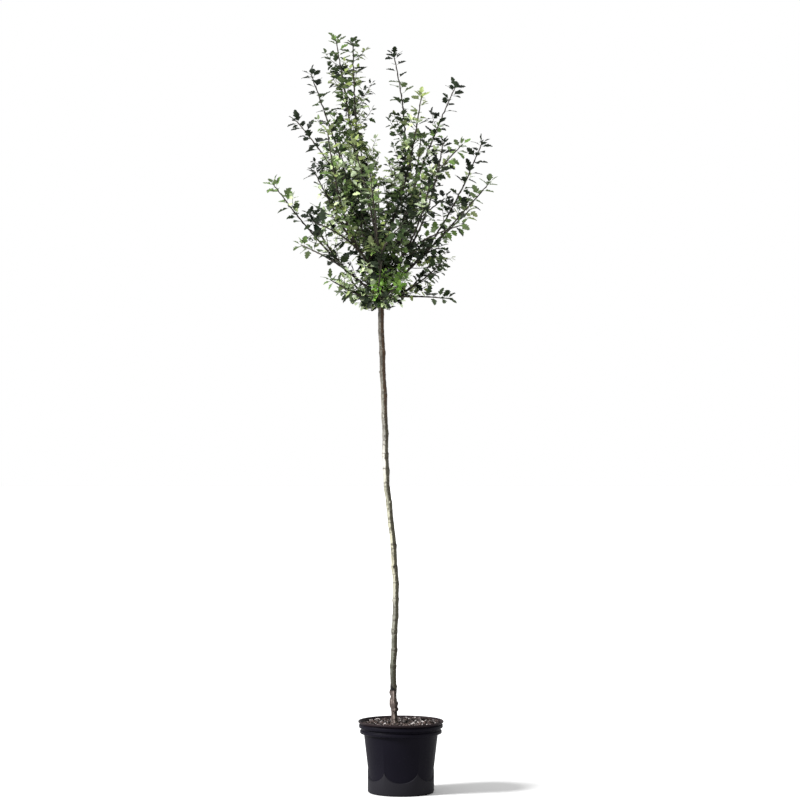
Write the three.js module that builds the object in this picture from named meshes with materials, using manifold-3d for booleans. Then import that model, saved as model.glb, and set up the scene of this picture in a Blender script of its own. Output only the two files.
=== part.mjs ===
// A young hawthorn grown as a standard: one slender stem with a graft knuckle at its foot, a head of
// boughs that end in upright whips, and a 10-litre nursery pot filled to just below its rim.
// Millimetres, +Z up. The origin is the centre of the pot's flat underside, and +X is the side that
// the stem leans away from.
import * as THREE from "three";
import { mergeVertices } from "three/addons/utils/BufferGeometryUtils.js";
import Module from "manifold-3d";

const wasm = await Module();
wasm.setup();

// ---- Driving dimensions -------------------------------------------------------------------------

const TOUCH = 0.3; // pieces that touch stand this far apart
const SAMPLE = 25; // spacing of the points that stand for a limb when distances are measured

const POT = {
  height: 236,
  sides: 30,
  wall: 3,
  floor: 4,
  baseRadius: 99.5, // where the wall's slope would meet the ground
  bodyTopRadius: 123,
  bodyTop: 190,
  shoulder: 10, // height over which the wall opens out into the collar
  collarRadius: 126, // inside the collar's foot
  rimRadius: 130.5, // inside the rim, below its lip
  lipRadius: 141,
  lipDepth: 6,
  lipWidth: 4,
  ribRadii: [135, 138.5], // the two ribs below the lip, lower one first
  ribTops: [205, 224],
  ribDepths: [9, 10],
  grooveDepth: 5.5,
  footRadius: 109.5, // the foot band is upright, so it stands proud of the wall
  footRound: 6, // height of the rounded edge under it
  footInset: 4.5, // how far that edge draws in
  footStep: 2, // height of the slope on top of it
  footValley: 41, // height of its scalloped edge between its points
  footPeak: 76,
  scallops: 6,
  scallopRound: 0.985, // 1 makes every valley a half ellipse, 0 a parabola
  drainRadius: 8,
  drainCircle: 78,
  drains: 6,
};

const SOIL = {
  top: 226,
  flatRadius: 52, // level ground round the stem's foot
  inset: 2, // how far inside the rim the mulch meets the pot
  lumpRadii: [127, 94], // the rings of the mulch that rise and fall, outer one first
  lump: 3, // how far they stand above or below the level ground
  edge: 5, // how far below its top the mulch meets the pot
};

const TRUNK = {
  footX: -21,
  height: 1537, // from the soil to the fork
  // how far the axis stands from the foot, as [height above the soil, sideways, front to back]
  bends: [
    [0, 0, 0],
    [140, -4.5, 2],
    [330, 1.5, 5],
    [430, 4.5, 4],
    [610, -6, 0],
    [800, -26, -5],
    [1000, -32, -4],
    [1370, -45.5, 3],
    [1537, -44.5, 4],
  ],
  footRadius: 10.4,
  forkRadius: 9.8,
  flare: 4.2,
  flareHeight: 14,
  graftSwell: 4, // the knuckle where the tree was grafted
  graftHeight: 62,
  graftSpan: 20,
  sides: 10,
  steps: 30,
};

const CROWN_FOOT = 1394; // height above the soil of the lowest bough's seat
const BOUGH = {
  seatRadius: 5.2,
  tipRadius: 3.4,
  sides: 6,
  steps: 5,
  climb: 0.8, // how steeply it leaves the trunk, as rise over run
  bend: 0.5, // how far it keeps that heading, as a share of its length
};
const LOW_CLIMB = 0.15; // the same for the whips of a low mass

// Every bough: its seat above the crown's foot, its heading, how far out and up its tip lies, and its
// whips. A whip is the [heading, reach, rise] of its topmost leaf. Headings are degrees from +X
// towards +Y, and reach and rise are measured from the crown's foot. A bough with no reach is a bare
// seat on the trunk, where a low mass starts.
const BOUGHS = [
  {
    name: "left",
    seat: 8,
    heading: 172,
    reach: 66,
    rise: 62,
    whips: [
      [185, 372, 404],
      [157, 312, 205],
      [202, 262, 300],
      [182, 175, 150],
    ],
  },
  {
    name: "right",
    seat: 20,
    heading: 4,
    reach: 66,
    rise: 78,
    whips: [
      [-5, 380, 410],
      [10, 356, 552],
      [26, 352, 330],
      [352, 215, 190],
    ],
  },
  {
    name: "front",
    seat: 32,
    heading: 268,
    reach: 64,
    rise: 88,
    whips: [
      [264, 330, 420],
      [283, 312, 240],
      [248, 240, 520],
      [258, 165, 190],
    ],
  },
  {
    name: "back",
    seat: 44,
    heading: 92,
    reach: 64,
    rise: 100,
    whips: [
      [92, 330, 430],
      [74, 312, 250],
      [108, 250, 560],
      [100, 165, 200],
    ],
  },
  {
    name: "front_right",
    seat: 56,
    heading: 318,
    reach: 62,
    rise: 114,
    whips: [
      [333, 325, 255],
      [304, 300, 380],
      [322, 270, 530],
    ],
  },
  {
    name: "front_left",
    seat: 68,
    heading: 224,
    reach: 62,
    rise: 128,
    whips: [
      [221, 312, 262],
      [232, 285, 560],
      [210, 262, 440],
    ],
  },
  {
    name: "back_right",
    seat: 80,
    heading: 52,
    reach: 60,
    rise: 142,
    whips: [
      [60, 280, 590],
      [44, 318, 372],
    ],
  },
  {
    name: "back_left",
    seat: 90,
    heading: 132,
    reach: 60,
    rise: 154,
    whips: [
      [122, 280, 610],
      [138, 308, 330],
    ],
  },
  {
    name: "right_high",
    seat: 100,
    heading: 350,
    reach: 50,
    rise: 178,
    whips: [
      [11, 260, 736],
      [338, 304, 528],
    ],
  },
  {
    name: "left_high",
    seat: 112,
    heading: 182,
    reach: 50,
    rise: 194,
    whips: [
      [192, 242, 768],
      [160, 314, 628],
    ],
  },
  {
    name: "tall_left",
    seat: 124,
    heading: 150,
    reach: 60,
    rise: 240,
    whips: [
      [165, 158, 893],
      [214, 112, 868],
      [140, 178, 800],
    ],
  },
  {
    name: "leader",
    seat: 136,
    heading: 20,
    reach: 20,
    rise: 216,
    whips: [
      [62, 92, 849],
      [322, 178, 690],
    ],
  },
  {
    name: "low_left",
    seat: 2,
    heading: 190,
    whips: [
      [198, 198, 78],
      [158, 150, 36],
      [182, 150, 150],
    ],
  },
  {
    name: "low_right",
    seat: 8,
    heading: 355,
    whips: [
      [7, 252, 10],
      [335, 240, 132],
      [15, 190, 140],
    ],
  },
  {
    name: "low_front",
    seat: -6,
    heading: 268,
    whips: [
      [245, 130, 20],
      [296, 150, 50],
      [272, 180, 140],
    ],
  },
  {
    name: "low_back",
    seat: -12,
    heading: 96,
    whips: [
      [118, 135, 20],
      [70, 150, 40],
      [98, 180, 130],
    ],
  },
];

// The long shoots that carry each mass. Twigs and leaves stand at even steps along them.
const WHIP = {
  radius: 2.9,
  tipRadius: 1.1,
  steps: 4,
  leafFrom: 0.05, // share of its length where the lowest leaf may stand
  leafStep: 55,
  twigFrom: 0.1,
  twigTo: 0.62,
  twigStep: 88,
  bend: 0.42, // how far the first keeps the heading of its bough, as a share of its length
  forkBend: 0.36, // the same for the others, which fork from the first
  forkFrom: 0.07, // share of the first whip's length where the next one forks, and so on
};

// The side twigs on the whips.
const TWIG = {
  radius: 1.9,
  tipRadius: 1.0,
  steps: 1,
  leafFrom: 0.35,
  leafStep: 44,
  length: 112,
  shorter: 0.7, // how much shorter the topmost one on a whip is than the lowest
  least: 0.8, // shortest and longest at any one place
  most: 1.25,
  angle: 52, // between it and the whip
  lift: 0.35, // how strongly it turns upwards
  bend: 0.5, // how far it keeps its first heading, as a share of its length
  tests: 6, // points along it that are tested for room
};

const AXIS_SIDES = 3; // sides of every whip and twig
const GOLDEN_TURN = 137.5; // from one twig or leaf to the next round its axis
const TURNS = 3; // how many turns are tried where there is no room

const LEAF = {
  length: 66,
  width: 48,
  thickness: 2.4,
  widest: 0.58, // where the blade is widest, as a share of its length
  fold: 3, // how far its edges stand above the midrib
  least: 0.82, // smallest and largest, as shares of the length above
  most: 1.16,
  small: 0.66, // and what is left of that where it has no room to be full
  sunk: 0.1, // how far its root goes past the twig's axis, as a share of the twig's radius
  angle: 62, // between the blade and the axis that bears it
  lift: 0.1,
  tilt: 1.5, // how far its face may lean from level
  past: 50, // how far the topmost one stands past its whip
};

// The leaves crowded at the tip of every axis.
const ROSETTE = {
  leaves: 2,
  first: 3, // from the tip to the first
  spacing: 7,
  angle: 18, // between the first and the axis
  spread: 32, // and how much wider each further one opens
};

// Points of the blade's outline that are tested for room, as shares of its half width and length.
const LEAF_OUTLINE = [
  [0, 1],
  [1, LEAF.widest],
  [-1, LEAF.widest],
  [0.5, 0.3],
  [-0.5, 0.3],
  [0.5, 0.8],
  [-0.5, 0.8],
];

const SPACE_MARGIN = 2.4; // a mass keeps this far inside the border with its neighbours
const LIMB_CLEARANCE = 3; // and this far from the trunk and the boughs
const BLADE_CLEARANCE = 0.8; // and a blade or twig from all of its mass but its own axis
const LOWEST_LEAF = -34; // rise of the crown's lowest leaf
const SEED = { soil: 71, firstMass: 1009, perMass: 37 };

const COLOUR = {
  pot: { color: 0x1e1d24, roughness: 0.5, metalness: 0 },
  soil: { color: 0x4a3a30, roughness: 0.95, metalness: 0 },
  bark: { color: 0x77705f, roughness: 0.85, metalness: 0 },
  bough: { color: 0x6f6a55, roughness: 0.8, metalness: 0 },
  foliage: { color: 0x36482c, roughness: 0.55, metalness: 0 },
};

// ---- Helpers ------------------------------------------------------------------------------------

const radians = THREE.MathUtils.degToRad;
const UP = new THREE.Vector3(0, 0, 1);

// The minimal standard generator: the same seed always grows the same tree.
function seededRandom(seed) {
  let state = seed;
  return () => {
    state = (state * 16807) % 2147483647;
    return state / 2147483647;
  };
}

// A closed geometry as a solid that can be joined and cut.
function solidOf(geometry) {
  const bare = geometry.clone();
  bare.deleteAttribute("normal");
  bare.deleteAttribute("uv");
  const merged = mergeVertices(bare, 1e-4);
  return new wasm.Manifold(
    new wasm.Mesh({
      numProp: 3,
      vertProperties: merged.attributes.position.array,
      triVerts: new Uint32Array(merged.index.array),
    }),
  );
}

// A solid as a geometry that can be drawn.
function geometryOf(solid) {
  const mesh = solid.getMesh();
  const geometry = new THREE.BufferGeometry();
  geometry.setAttribute(
    "position",
    new THREE.BufferAttribute(mesh.vertProperties, 3),
  );
  geometry.setIndex(new THREE.BufferAttribute(mesh.triVerts, 1));
  geometry.computeVertexNormals();
  return geometry;
}

function namedMesh(name, geometry, colour) {
  const mesh = new THREE.Mesh(geometry, new THREE.MeshStandardMaterial(colour));
  mesh.name = name;
  return mesh;
}

// A closed round limb along a curve: a cylinder whose rings are moved onto the curve.
function limb(curve, radiusAt, sides, steps) {
  const geometry = new THREE.CylinderGeometry(1, 1, 1, sides, steps);
  const frames = curve.computeFrenetFrames(steps, false);
  const position = geometry.attributes.position;
  for (let i = 0; i < position.count; i++) {
    const share = position.getY(i) + 0.5;
    const ring = Math.round(share * steps);
    const spoke = new THREE.Vector2(position.getX(i), position.getZ(i));
    spoke.multiplyScalar(radiusAt(share));
    const point = curve
      .getPointAt(ring / steps)
      .addScaledVector(frames.normals[ring], spoke.x)
      .addScaledVector(frames.binormals[ring], -spoke.y);
    position.setXYZ(i, point.x, point.y, point.z);
  }
  return geometry;
}

// A radius that runs evenly from one value to another.
function taper(from, to) {
  return (share) => from + (to - from) * share;
}

// ---- Pot and soil -------------------------------------------------------------------------------

// Height of the foot band's scalloped edge: round valleys that meet in points.
function footEdge(angle) {
  const turn = ((angle * POT.scallops) / (2 * Math.PI)) % 1;
  const offCentre = Math.abs(2 * turn - 1);
  const bow = (share) => 1 - Math.sqrt(1 - POT.scallopRound * share ** 2);
  return THREE.MathUtils.lerp(POT.footValley, POT.footPeak, bow(offCentre) / bow(1));
}

// A profile of [radius, height] turned round the axis. Either may be a function of the angle.
function turned(profile, sides) {
  const at = (value, angle) => (typeof value === "function" ? value(angle) : value);
  const points = profile.map(([radius]) => new THREE.Vector2(at(radius, 0), 0));
  const geometry = new THREE.LatheGeometry(points, sides);
  const position = geometry.attributes.position;
  for (let i = 0; i < position.count; i++) {
    const column = Math.floor(i / profile.length) % sides;
    const angle = (column / sides) * 2 * Math.PI;
    const [radius, height] = profile[i % profile.length].map((value) => at(value, angle));
    position.setXYZ(i, radius * Math.cos(angle), radius * Math.sin(angle), height);
  }
  return geometry;
}

// The outside of the pot's wall, then its inside.
function wallRadius(height) {
  return THREE.MathUtils.lerp(POT.baseRadius, POT.bodyTopRadius, height / POT.bodyTop);
}
function innerRadius(height) {
  return wallRadius(height) - POT.wall;
}

function potGeometry() {
  const ribs = POT.ribTops.flatMap((top, i) => {
    const radius = POT.ribRadii[i];
    const bottom = top - POT.ribDepths[i];
    return [
      [radius - POT.grooveDepth, bottom - 1],
      [radius - 1, bottom],
      [radius, top],
      [radius - POT.grooveDepth, top + 1],
    ];
  });
  const profile = [
    [0, 0],
    [POT.footRadius - POT.footInset, 0],
    [POT.footRadius, POT.footRound],
    [POT.footRadius, footEdge],
    [(angle) => wallRadius(footEdge(angle)), (angle) => footEdge(angle) + POT.footStep],
    [POT.bodyTopRadius, POT.bodyTop],
    [POT.bodyTopRadius + 1, POT.bodyTop + POT.wall],
    ...ribs,
    [POT.lipRadius - 1, POT.height - POT.lipDepth],
    [POT.lipRadius, POT.height],
    [POT.lipRadius - POT.lipWidth, POT.height],
    [POT.rimRadius, POT.height - POT.lipDepth - POT.lipWidth],
    [POT.collarRadius, POT.bodyTop + POT.shoulder],
    [innerRadius(POT.bodyTop), POT.bodyTop],
    [innerRadius(POT.floor), POT.floor],
    [0, POT.floor],
  ];
  let pot = solidOf(turned(profile, POT.sides));
  for (let i = 0; i < POT.drains; i++) {
    const angle = ((i + 0.5) / POT.drains) * 2 * Math.PI;
    const hole = new THREE.CylinderGeometry(POT.drainRadius, POT.drainRadius, 3 * POT.floor, 8);
    hole.rotateX(Math.PI / 2);
    hole.translate(POT.drainCircle * Math.cos(angle), POT.drainCircle * Math.sin(angle), 0);
    pot = pot.subtract(solidOf(hole));
  }
  return geometryOf(pot);
}

// The soil fills the pot up to its mulch, with the same sides as the pot and a little inside it.
function soilGeometry() {
  const random = seededRandom(SEED.soil);
  const lumps = POT.sides * SOIL.lumpRadii.length;
  const heights = [...Array(lumps)].map(() => SOIL.top + SOIL.lump * (2 * random() - 1));
  const lumpy = (ring) => (angle) => {
    const column = Math.round((angle / (2 * Math.PI)) * POT.sides);
    return heights[ring * POT.sides + column];
  };
  const bottom = POT.floor + TOUCH;
  const profile = [
    [0, bottom],
    [innerRadius(bottom) - 3 * TOUCH, bottom],
    [innerRadius(POT.bodyTop) - 2 * TOUCH, POT.bodyTop],
    [POT.collarRadius - 2 * TOUCH, POT.bodyTop + POT.shoulder],
    [POT.rimRadius - SOIL.inset, SOIL.top - SOIL.edge],
    ...SOIL.lumpRadii.map((radius, ring) => [radius, lumpy(ring)]),
    [SOIL.flatRadius, SOIL.top],
    [0, SOIL.top],
  ];
  return turned(profile, POT.sides);
}

// ---- Trunk and boughs ---------------------------------------------------------------------------

const trunkCurve = new THREE.CatmullRomCurve3(
  TRUNK.bends.map(
    ([height, sideways, depth]) =>
      new THREE.Vector3(TRUNK.footX + sideways, depth, SOIL.top + TOUCH + height),
  ),
);

function trunkRadius(share) {
  const height = share * TRUNK.height;
  const plain = taper(TRUNK.footRadius, TRUNK.forkRadius)(share);
  const flare = TRUNK.flare * Math.exp(-height / TRUNK.flareHeight);
  const graft = TRUNK.graftSwell * Math.exp(-(((height - TRUNK.graftHeight) / TRUNK.graftSpan) ** 2));
  return plain + flare + graft;
}

// The trunk, or the same shape grown all round by a clearance. Its foot is cut level.
function trunkSolid(clearance) {
  const radius = (share) => trunkRadius(share) + clearance / Math.cos(Math.PI / TRUNK.sides);
  const geometry = limb(trunkCurve, radius, TRUNK.sides, TRUNK.steps);
  const position = geometry.attributes.position;
  const ground = SOIL.top + TOUCH;
  const halfStep = TRUNK.height / TRUNK.steps / 2;
  for (let i = 0; i < position.count; i++) {
    if (position.getZ(i) < ground + halfStep) position.setZ(i, ground - clearance);
  }
  return solidOf(geometry);
}

// The point on the trunk's axis at a height above the crown's foot.
function onTrunk(rise) {
  return trunkCurve.getPointAt((CROWN_FOOT + rise) / TRUNK.height);
}

// The point at a heading, a reach and a rise from the crown's foot.
function crownPoint(heading, reach, rise) {
  const angle = radians(heading);
  const offset = new THREE.Vector3(reach * Math.cos(angle), reach * Math.sin(angle), rise);
  return offset.add(onTrunk(0));
}

// The smooth curve that leaves a point in one direction and arrives at another point.
function sweep(start, direction, end, bend) {
  const corner = start.clone().addScaledVector(direction, start.distanceTo(end) * bend);
  return new THREE.QuadraticBezierCurve3(start, corner, end);
}

// The direction that goes out at a heading and climbs at a slope.
function outward(heading, climb) {
  const angle = radians(heading);
  return new THREE.Vector3(Math.cos(angle), Math.sin(angle), climb).normalize();
}

// The leader stands on the trunk's end, and every other bough leaves the trunk's side.
function boughCurve(bough) {
  const tip = crownPoint(bough.heading, bough.reach, bough.rise);
  if (bough.name === "leader") {
    const start = trunkCurve.getPointAt(1).addScaledVector(trunkCurve.getTangentAt(1), TOUCH);
    return sweep(start, UP, tip, BOUGH.bend);
  }
  return sweep(onTrunk(bough.seat), outward(bough.heading, BOUGH.climb), tip, BOUGH.bend);
}

// A limb on the trunk ends at the trunk's bark. What is left of its root inside the trunk goes.
function seatOnTrunk(solid) {
  const pieces = solid.subtract(grownTrunk).decompose();
  return pieces.sort((a, b) => b.volume() - a.volume())[0];
}

// ---- Masses of foliage --------------------------------------------------------------------------

// The curves of a mass's whips. The first is its stem, and the others fork from that near its foot.
function whipCurves(bough) {
  let start = onTrunk(bough.seat);
  let direction = outward(bough.heading, LOW_CLIMB);
  if (bough.curve) {
    direction = bough.curve.getTangentAt(1);
    start = bough.curve.getPointAt(1).addScaledVector(direction, TOUCH);
  }
  const [first, ...others] = bough.whips.map((whip) => {
    const leafTip = crownPoint(...whip);
    const heading = leafTip.clone().sub(start).normalize();
    return leafTip.addScaledVector(heading, -LEAF.past);
  });
  const stem = sweep(start, direction, first, WHIP.bend);
  const forks = others.map((tip, i) => {
    const share = WHIP.forkFrom * (i + 1);
    return sweep(stem.getPointAt(share), stem.getTangentAt(share), tip, WHIP.forkBend);
  });
  return [stem, ...forks];
}

function samplesOf(curve) {
  return curve.getSpacedPoints(Math.ceil(curve.getLength() / SAMPLE));
}

// How far a point is from a chain of points.
function distanceTo(chain, point) {
  const stretch = new THREE.Line3();
  const onStretch = new THREE.Vector3();
  let nearest = Infinity;
  for (let i = 1; i < chain.length; i++) {
    stretch.set(chain[i - 1], chain[i]).closestPointToPoint(point, true, onStretch);
    nearest = Math.min(nearest, onStretch.distanceToSquared(point));
  }
  return Math.sqrt(nearest);
}

// A mass's space is what lies nearer to its own bough and whips than to any other's, clear of limbs.
function inSpace(mass, points) {
  return points.every((point) => {
    if (point.z < onTrunk(0).z + LOWEST_LEAF) return false;
    const own = Math.min(...mass.chains.map((chain) => distanceTo(chain, point)));
    const border = own + 2 * SPACE_MARGIN;
    const owned = masses.every(
      (other) =>
        other === mass || other.chains.every((chain) => distanceTo(chain, point) > border),
    );
    return owned && limbs.every(({ chain, radius }) => distanceTo(chain, point) > radius);
  });
}

// A closed geometry as one piece of a mass: its solid, and the box that holds it.
function pieceOf(geometry) {
  geometry.computeBoundingBox();
  return { solid: solidOf(geometry), box: geometry.boundingBox.expandByScalar(BLADE_CLEARANCE) };
}

// A whip or a twig as a piece that knows its curve, its rule and the straight lengths it is made of.
function axisOf(curve, rule) {
  const geometry = limb(curve, taper(rule.radius, rule.tipRadius), AXIS_SIDES, rule.steps);
  return { ...pieceOf(geometry), curve, rule, joints: curve.getSpacedPoints(rule.steps) };
}

// The point on an axis at a share of its length.
function onAxis({ joints, rule }, share) {
  const step = Math.min(Math.floor(share * rule.steps), rule.steps - 1);
  return joints[step].clone().lerp(joints[step + 1], share * rule.steps - step);
}

// Whether a piece stands clear of all that its mass has grown, but for the axis that bears it.
function standsClear(mass, piece, bearer) {
  return mass.pieces.every(
    (other) =>
      other === bearer ||
      !other.box.intersectsBox(piece.box) ||
      piece.solid.minGap(other.solid, BLADE_CLEARANCE) >= BLADE_CLEARANCE,
  );
}

// The direction that stands off an axis at an angle, turned round it, then lifted.
function sideways(tangent, turn, angle, lift) {
  const across = new THREE.Vector3().crossVectors(tangent, UP);
  if (across.lengthSq() < 1e-4) across.set(1, 0, 0);
  across.normalize().applyAxisAngle(tangent, radians(turn));
  return across
    .multiplyScalar(Math.sin(radians(angle)))
    .addScaledVector(tangent, Math.cos(radians(angle)))
    .addScaledVector(UP, lift)
    .normalize();
}

// A six-faced blade along +Y: its root at the origin, its face to +Z and its midrib a keel below.
function leafGeometry(size) {
  const geometry = new THREE.SphereGeometry(1, 3, 2);
  const position = geometry.attributes.position;
  const length = LEAF.length * size;
  const half = (LEAF.width * size) / 2;
  for (let i = 0; i < position.count; i++) {
    const [x, y, z] = [position.getX(i), position.getY(i), position.getZ(i)].map(Math.round);
    const along = y === 0 ? LEAF.widest : (y + 1) / 2;
    const lift = z === 0 ? x * LEAF.thickness : LEAF.fold * size;
    position.setXYZ(i, -z * half, along * length, lift);
  }
  return geometry;
}

// A random value between two others.
function between(random, least, most) {
  return least + (most - least) * random();
}

// The frame of a blade that leaves a point in one direction.
function leafFrame(point, direction, tilt) {
  const face = UP.clone().add(tilt).addScaledVector(direction, -UP.dot(direction)).normalize();
  const across = new THREE.Vector3().crossVectors(direction, face).normalize();
  face.crossVectors(across, direction);
  return new THREE.Matrix4().makeBasis(across, direction, face).setPosition(point);
}

// The directions tried at one place on an axis, each a golden turn on from the last.
function directionsAt(axis, share, turn, angle, lift) {
  const tangent = axis.curve.getTangentAt(share);
  const tries = [...Array(TURNS).keys()];
  return tries.map((i) => sideways(tangent, turn + i * GOLDEN_TURN, angle, lift));
}

// Adds a leaf whose root is sunk in its axis. Where it has no room it is tried turned, then
// smaller, and left out if that doesn't help.
function addLeaf(mass, axis, share, directions, random) {
  const full = between(random, LEAF.least, LEAF.most);
  const lean = LEAF.tilt * (random() - 0.5);
  const tilt = new THREE.Vector3(lean, LEAF.tilt * (random() - 0.5), 0);
  const radius = taper(axis.rule.radius, axis.rule.tipRadius)(share);
  for (const size of [full, LEAF.small * full]) {
    const half = (LEAF.width * size) / 2;
    const length = LEAF.length * size;
    for (const direction of directions) {
      const root = onAxis(axis, share).addScaledVector(direction, -LEAF.sunk * radius);
      const frame = leafFrame(root, direction, tilt);
      const outline = LEAF_OUTLINE.map(([x, along]) =>
        new THREE.Vector3(x * half, along * length, 0).applyMatrix4(frame),
      );
      if (!inSpace(mass, outline)) continue;
      const leaf = pieceOf(leafGeometry(size).applyMatrix4(frame));
      if (!standsClear(mass, leaf, axis)) continue;
      mass.pieces.push(leaf);
      return;
    }
  }
}

// The rosette at an axis's tip, then the leaves down to its foot.
function addLeaves(mass, axis, random) {
  const { rule } = axis;
  const length = axis.curve.getLength();
  let turn = 360 * random();
  const leafAt = (share, angle) => {
    turn += GOLDEN_TURN;
    addLeaf(mass, axis, share, directionsAt(axis, share, turn, angle, LEAF.lift), random);
  };
  for (let i = 0; i < ROSETTE.leaves; i++) {
    const fromTip = ROSETTE.first + i * ROSETTE.spacing;
    leafAt(1 - fromTip / length, ROSETTE.angle + i * ROSETTE.spread);
  }
  for (let s = length - rule.leafStep; s > rule.leafFrom * length; s -= rule.leafStep) {
    leafAt(s / length, LEAF.angle);
  }
}

// Adds the side twigs of a whip. One that has no room at any turn is left out.
function addTwigs(mass, whip, axes, random) {
  const length = whip.curve.getLength();
  let turn = 360 * random();
  for (let s = WHIP.twigFrom * length; s < WHIP.twigTo * length; s += WHIP.twigStep) {
    const share = s / length;
    const start = onAxis(whip, share);
    const span = between(random, TWIG.least, TWIG.most) * TWIG.length;
    const reach = span * (1 - TWIG.shorter * share);
    turn += GOLDEN_TURN;
    for (const direction of directionsAt(whip, share, turn, TWIG.angle, 0)) {
      const end = start.clone().addScaledVector(direction, reach);
      end.addScaledVector(UP, reach * TWIG.lift);
      const curve = sweep(start, direction, end, TWIG.bend);
      if (!inSpace(mass, curve.getSpacedPoints(TWIG.tests).slice(1))) continue;
      const twig = axisOf(curve, TWIG);
      if (!standsClear(mass, twig, whip)) continue;
      mass.pieces.push(twig);
      axes.push(twig);
      break;
    }
  }
}

// A mass as one solid: its whips, then their side twigs, then the leaves on all of them.
function massSolid(mass, index) {
  const random = seededRandom(SEED.firstMass + SEED.perMass * index);
  const whips = mass.whips.map((curve) => axisOf(curve, WHIP));
  const axes = [...whips];
  mass.pieces.push(...whips);
  whips.forEach((whip) => addTwigs(mass, whip, axes, random));
  axes.forEach((axis) => addLeaves(mass, axis, random));
  const joined = wasm.Manifold.union(mass.pieces.map(({ solid }) => solid));
  return mass.bough.curve ? joined : seatOnTrunk(joined);
}

// ---- Assembly -----------------------------------------------------------------------------------

const grownTrunk = trunkSolid(TOUCH);
for (const bough of BOUGHS) {
  if (bough.reach) bough.curve = boughCurve(bough);
}
const masses = BOUGHS.map((bough) => {
  const whips = whipCurves(bough);
  const axes = bough.curve ? [...whips, bough.curve] : whips;
  return { bough, whips, chains: axes.map(samplesOf), pieces: [] };
});
const limbs = BOUGHS.filter((bough) => bough.curve).map((bough) => ({
  chain: samplesOf(bough.curve),
  radius: BOUGH.seatRadius + LIMB_CLEARANCE,
}));
limbs.push({
  chain: samplesOf(trunkCurve),
  radius: trunkRadius(CROWN_FOOT / TRUNK.height) + LIMB_CLEARANCE,
});

const tree = new THREE.Group();
tree.add(namedMesh("pot", potGeometry(), COLOUR.pot));
tree.add(namedMesh("soil", soilGeometry(), COLOUR.soil));
tree.add(namedMesh("trunk", geometryOf(trunkSolid(0)), COLOUR.bark));
for (const bough of BOUGHS.filter(({ curve }) => curve)) {
  const radius = taper(BOUGH.seatRadius, BOUGH.tipRadius);
  const whole = solidOf(limb(bough.curve, radius, BOUGH.sides, BOUGH.steps));
  const seated = bough.name === "leader" ? whole : seatOnTrunk(whole);
  tree.add(namedMesh(`bough_${bough.name}`, geometryOf(seated), COLOUR.bough));
}
masses.forEach((mass, i) => {
  const name = `foliage_${mass.bough.name}`;
  tree.add(namedMesh(name, geometryOf(massSolid(mass, i)), COLOUR.foliage));
});

export default tree;
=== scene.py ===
"""A young hawthorn grown as a standard in a nursery pot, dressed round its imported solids.

The tables below are millimetres and degrees, as the solids' own are, and MM turns them into metres.
Headings are degrees from +X towards +Y. The crown's foot is the seat of its lowest bough.
"""

import math
import random

import bpy
import numpy as np
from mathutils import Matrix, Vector
from mathutils.kdtree import KDTree


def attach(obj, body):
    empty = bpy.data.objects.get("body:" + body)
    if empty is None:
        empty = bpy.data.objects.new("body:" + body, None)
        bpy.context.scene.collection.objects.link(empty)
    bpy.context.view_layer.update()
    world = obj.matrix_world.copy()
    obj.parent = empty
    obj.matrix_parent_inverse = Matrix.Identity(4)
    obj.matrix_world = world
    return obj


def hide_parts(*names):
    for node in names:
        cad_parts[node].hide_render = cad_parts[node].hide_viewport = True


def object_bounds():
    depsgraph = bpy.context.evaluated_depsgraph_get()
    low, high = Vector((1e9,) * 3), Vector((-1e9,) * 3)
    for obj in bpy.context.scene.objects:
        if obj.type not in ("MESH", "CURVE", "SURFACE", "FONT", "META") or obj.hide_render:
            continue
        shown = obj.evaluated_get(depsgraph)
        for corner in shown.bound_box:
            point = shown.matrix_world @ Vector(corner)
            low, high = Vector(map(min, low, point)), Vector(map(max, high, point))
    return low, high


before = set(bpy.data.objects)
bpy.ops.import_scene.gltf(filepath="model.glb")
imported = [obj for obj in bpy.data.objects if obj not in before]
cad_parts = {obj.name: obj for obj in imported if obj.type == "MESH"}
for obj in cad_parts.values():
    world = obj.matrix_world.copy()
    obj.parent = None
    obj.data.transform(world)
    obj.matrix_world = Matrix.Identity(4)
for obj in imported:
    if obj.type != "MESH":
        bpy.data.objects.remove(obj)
cad_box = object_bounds()

# ---- Driving sizes ------------------------------------------------------------------------------

MM = 0.001
GOLDEN_TURN = 137.5

# The pot, as [radius, height] from the middle of its underside round to the middle of its inside.
POT_SEGMENTS = 180
POT_WALL = {"foot": 99.5, "top": 121.8, "top_height": 190}
POT_FOOT = {"slope": 2, "valley": 41, "peak": 76, "scallops": 6, "round": 0.985}
POT_PROFILE = [
    (97, 0),
    (100, 0),
    (104.8, 0.4),
    (107.8, 1.8),
    (109.2, 4),
    (109.5, 7),
    (109.5, 41),
    (104.8, 43),
    (121.8, 190),
    (122.2, 191.6),
    (124.4, 193.2),
    (129.5, 194.4),
    (133.6, 195.3),
    (135, 197),
    (135, 203.4),
    (134, 205),
    (130.6, 206),
    (129.7, 208),
    (130.6, 211.4),
    (133.4, 213),
    (137.4, 214),
    (138.5, 215.6),
    (138.5, 222.4),
    (137.4, 224),
    (134.4, 225),
    (133.4, 226.6),
    (134.6, 228.8),
    (139.8, 230.2),
    (141, 231.8),
    (141, 234.6),
    (139.8, 236),
    (138, 236),
    (136.8, 235),
    (130.5, 226),
    (126, 200),
    (120, 190),
    (96.8, 4),
]
POT_EDGES = {"round": 0.5, "angle": 32}  # every sharper edge is rounded
DRAINS = {"count": 6, "circle": 78, "radius": 8, "depth": 20}
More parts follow.
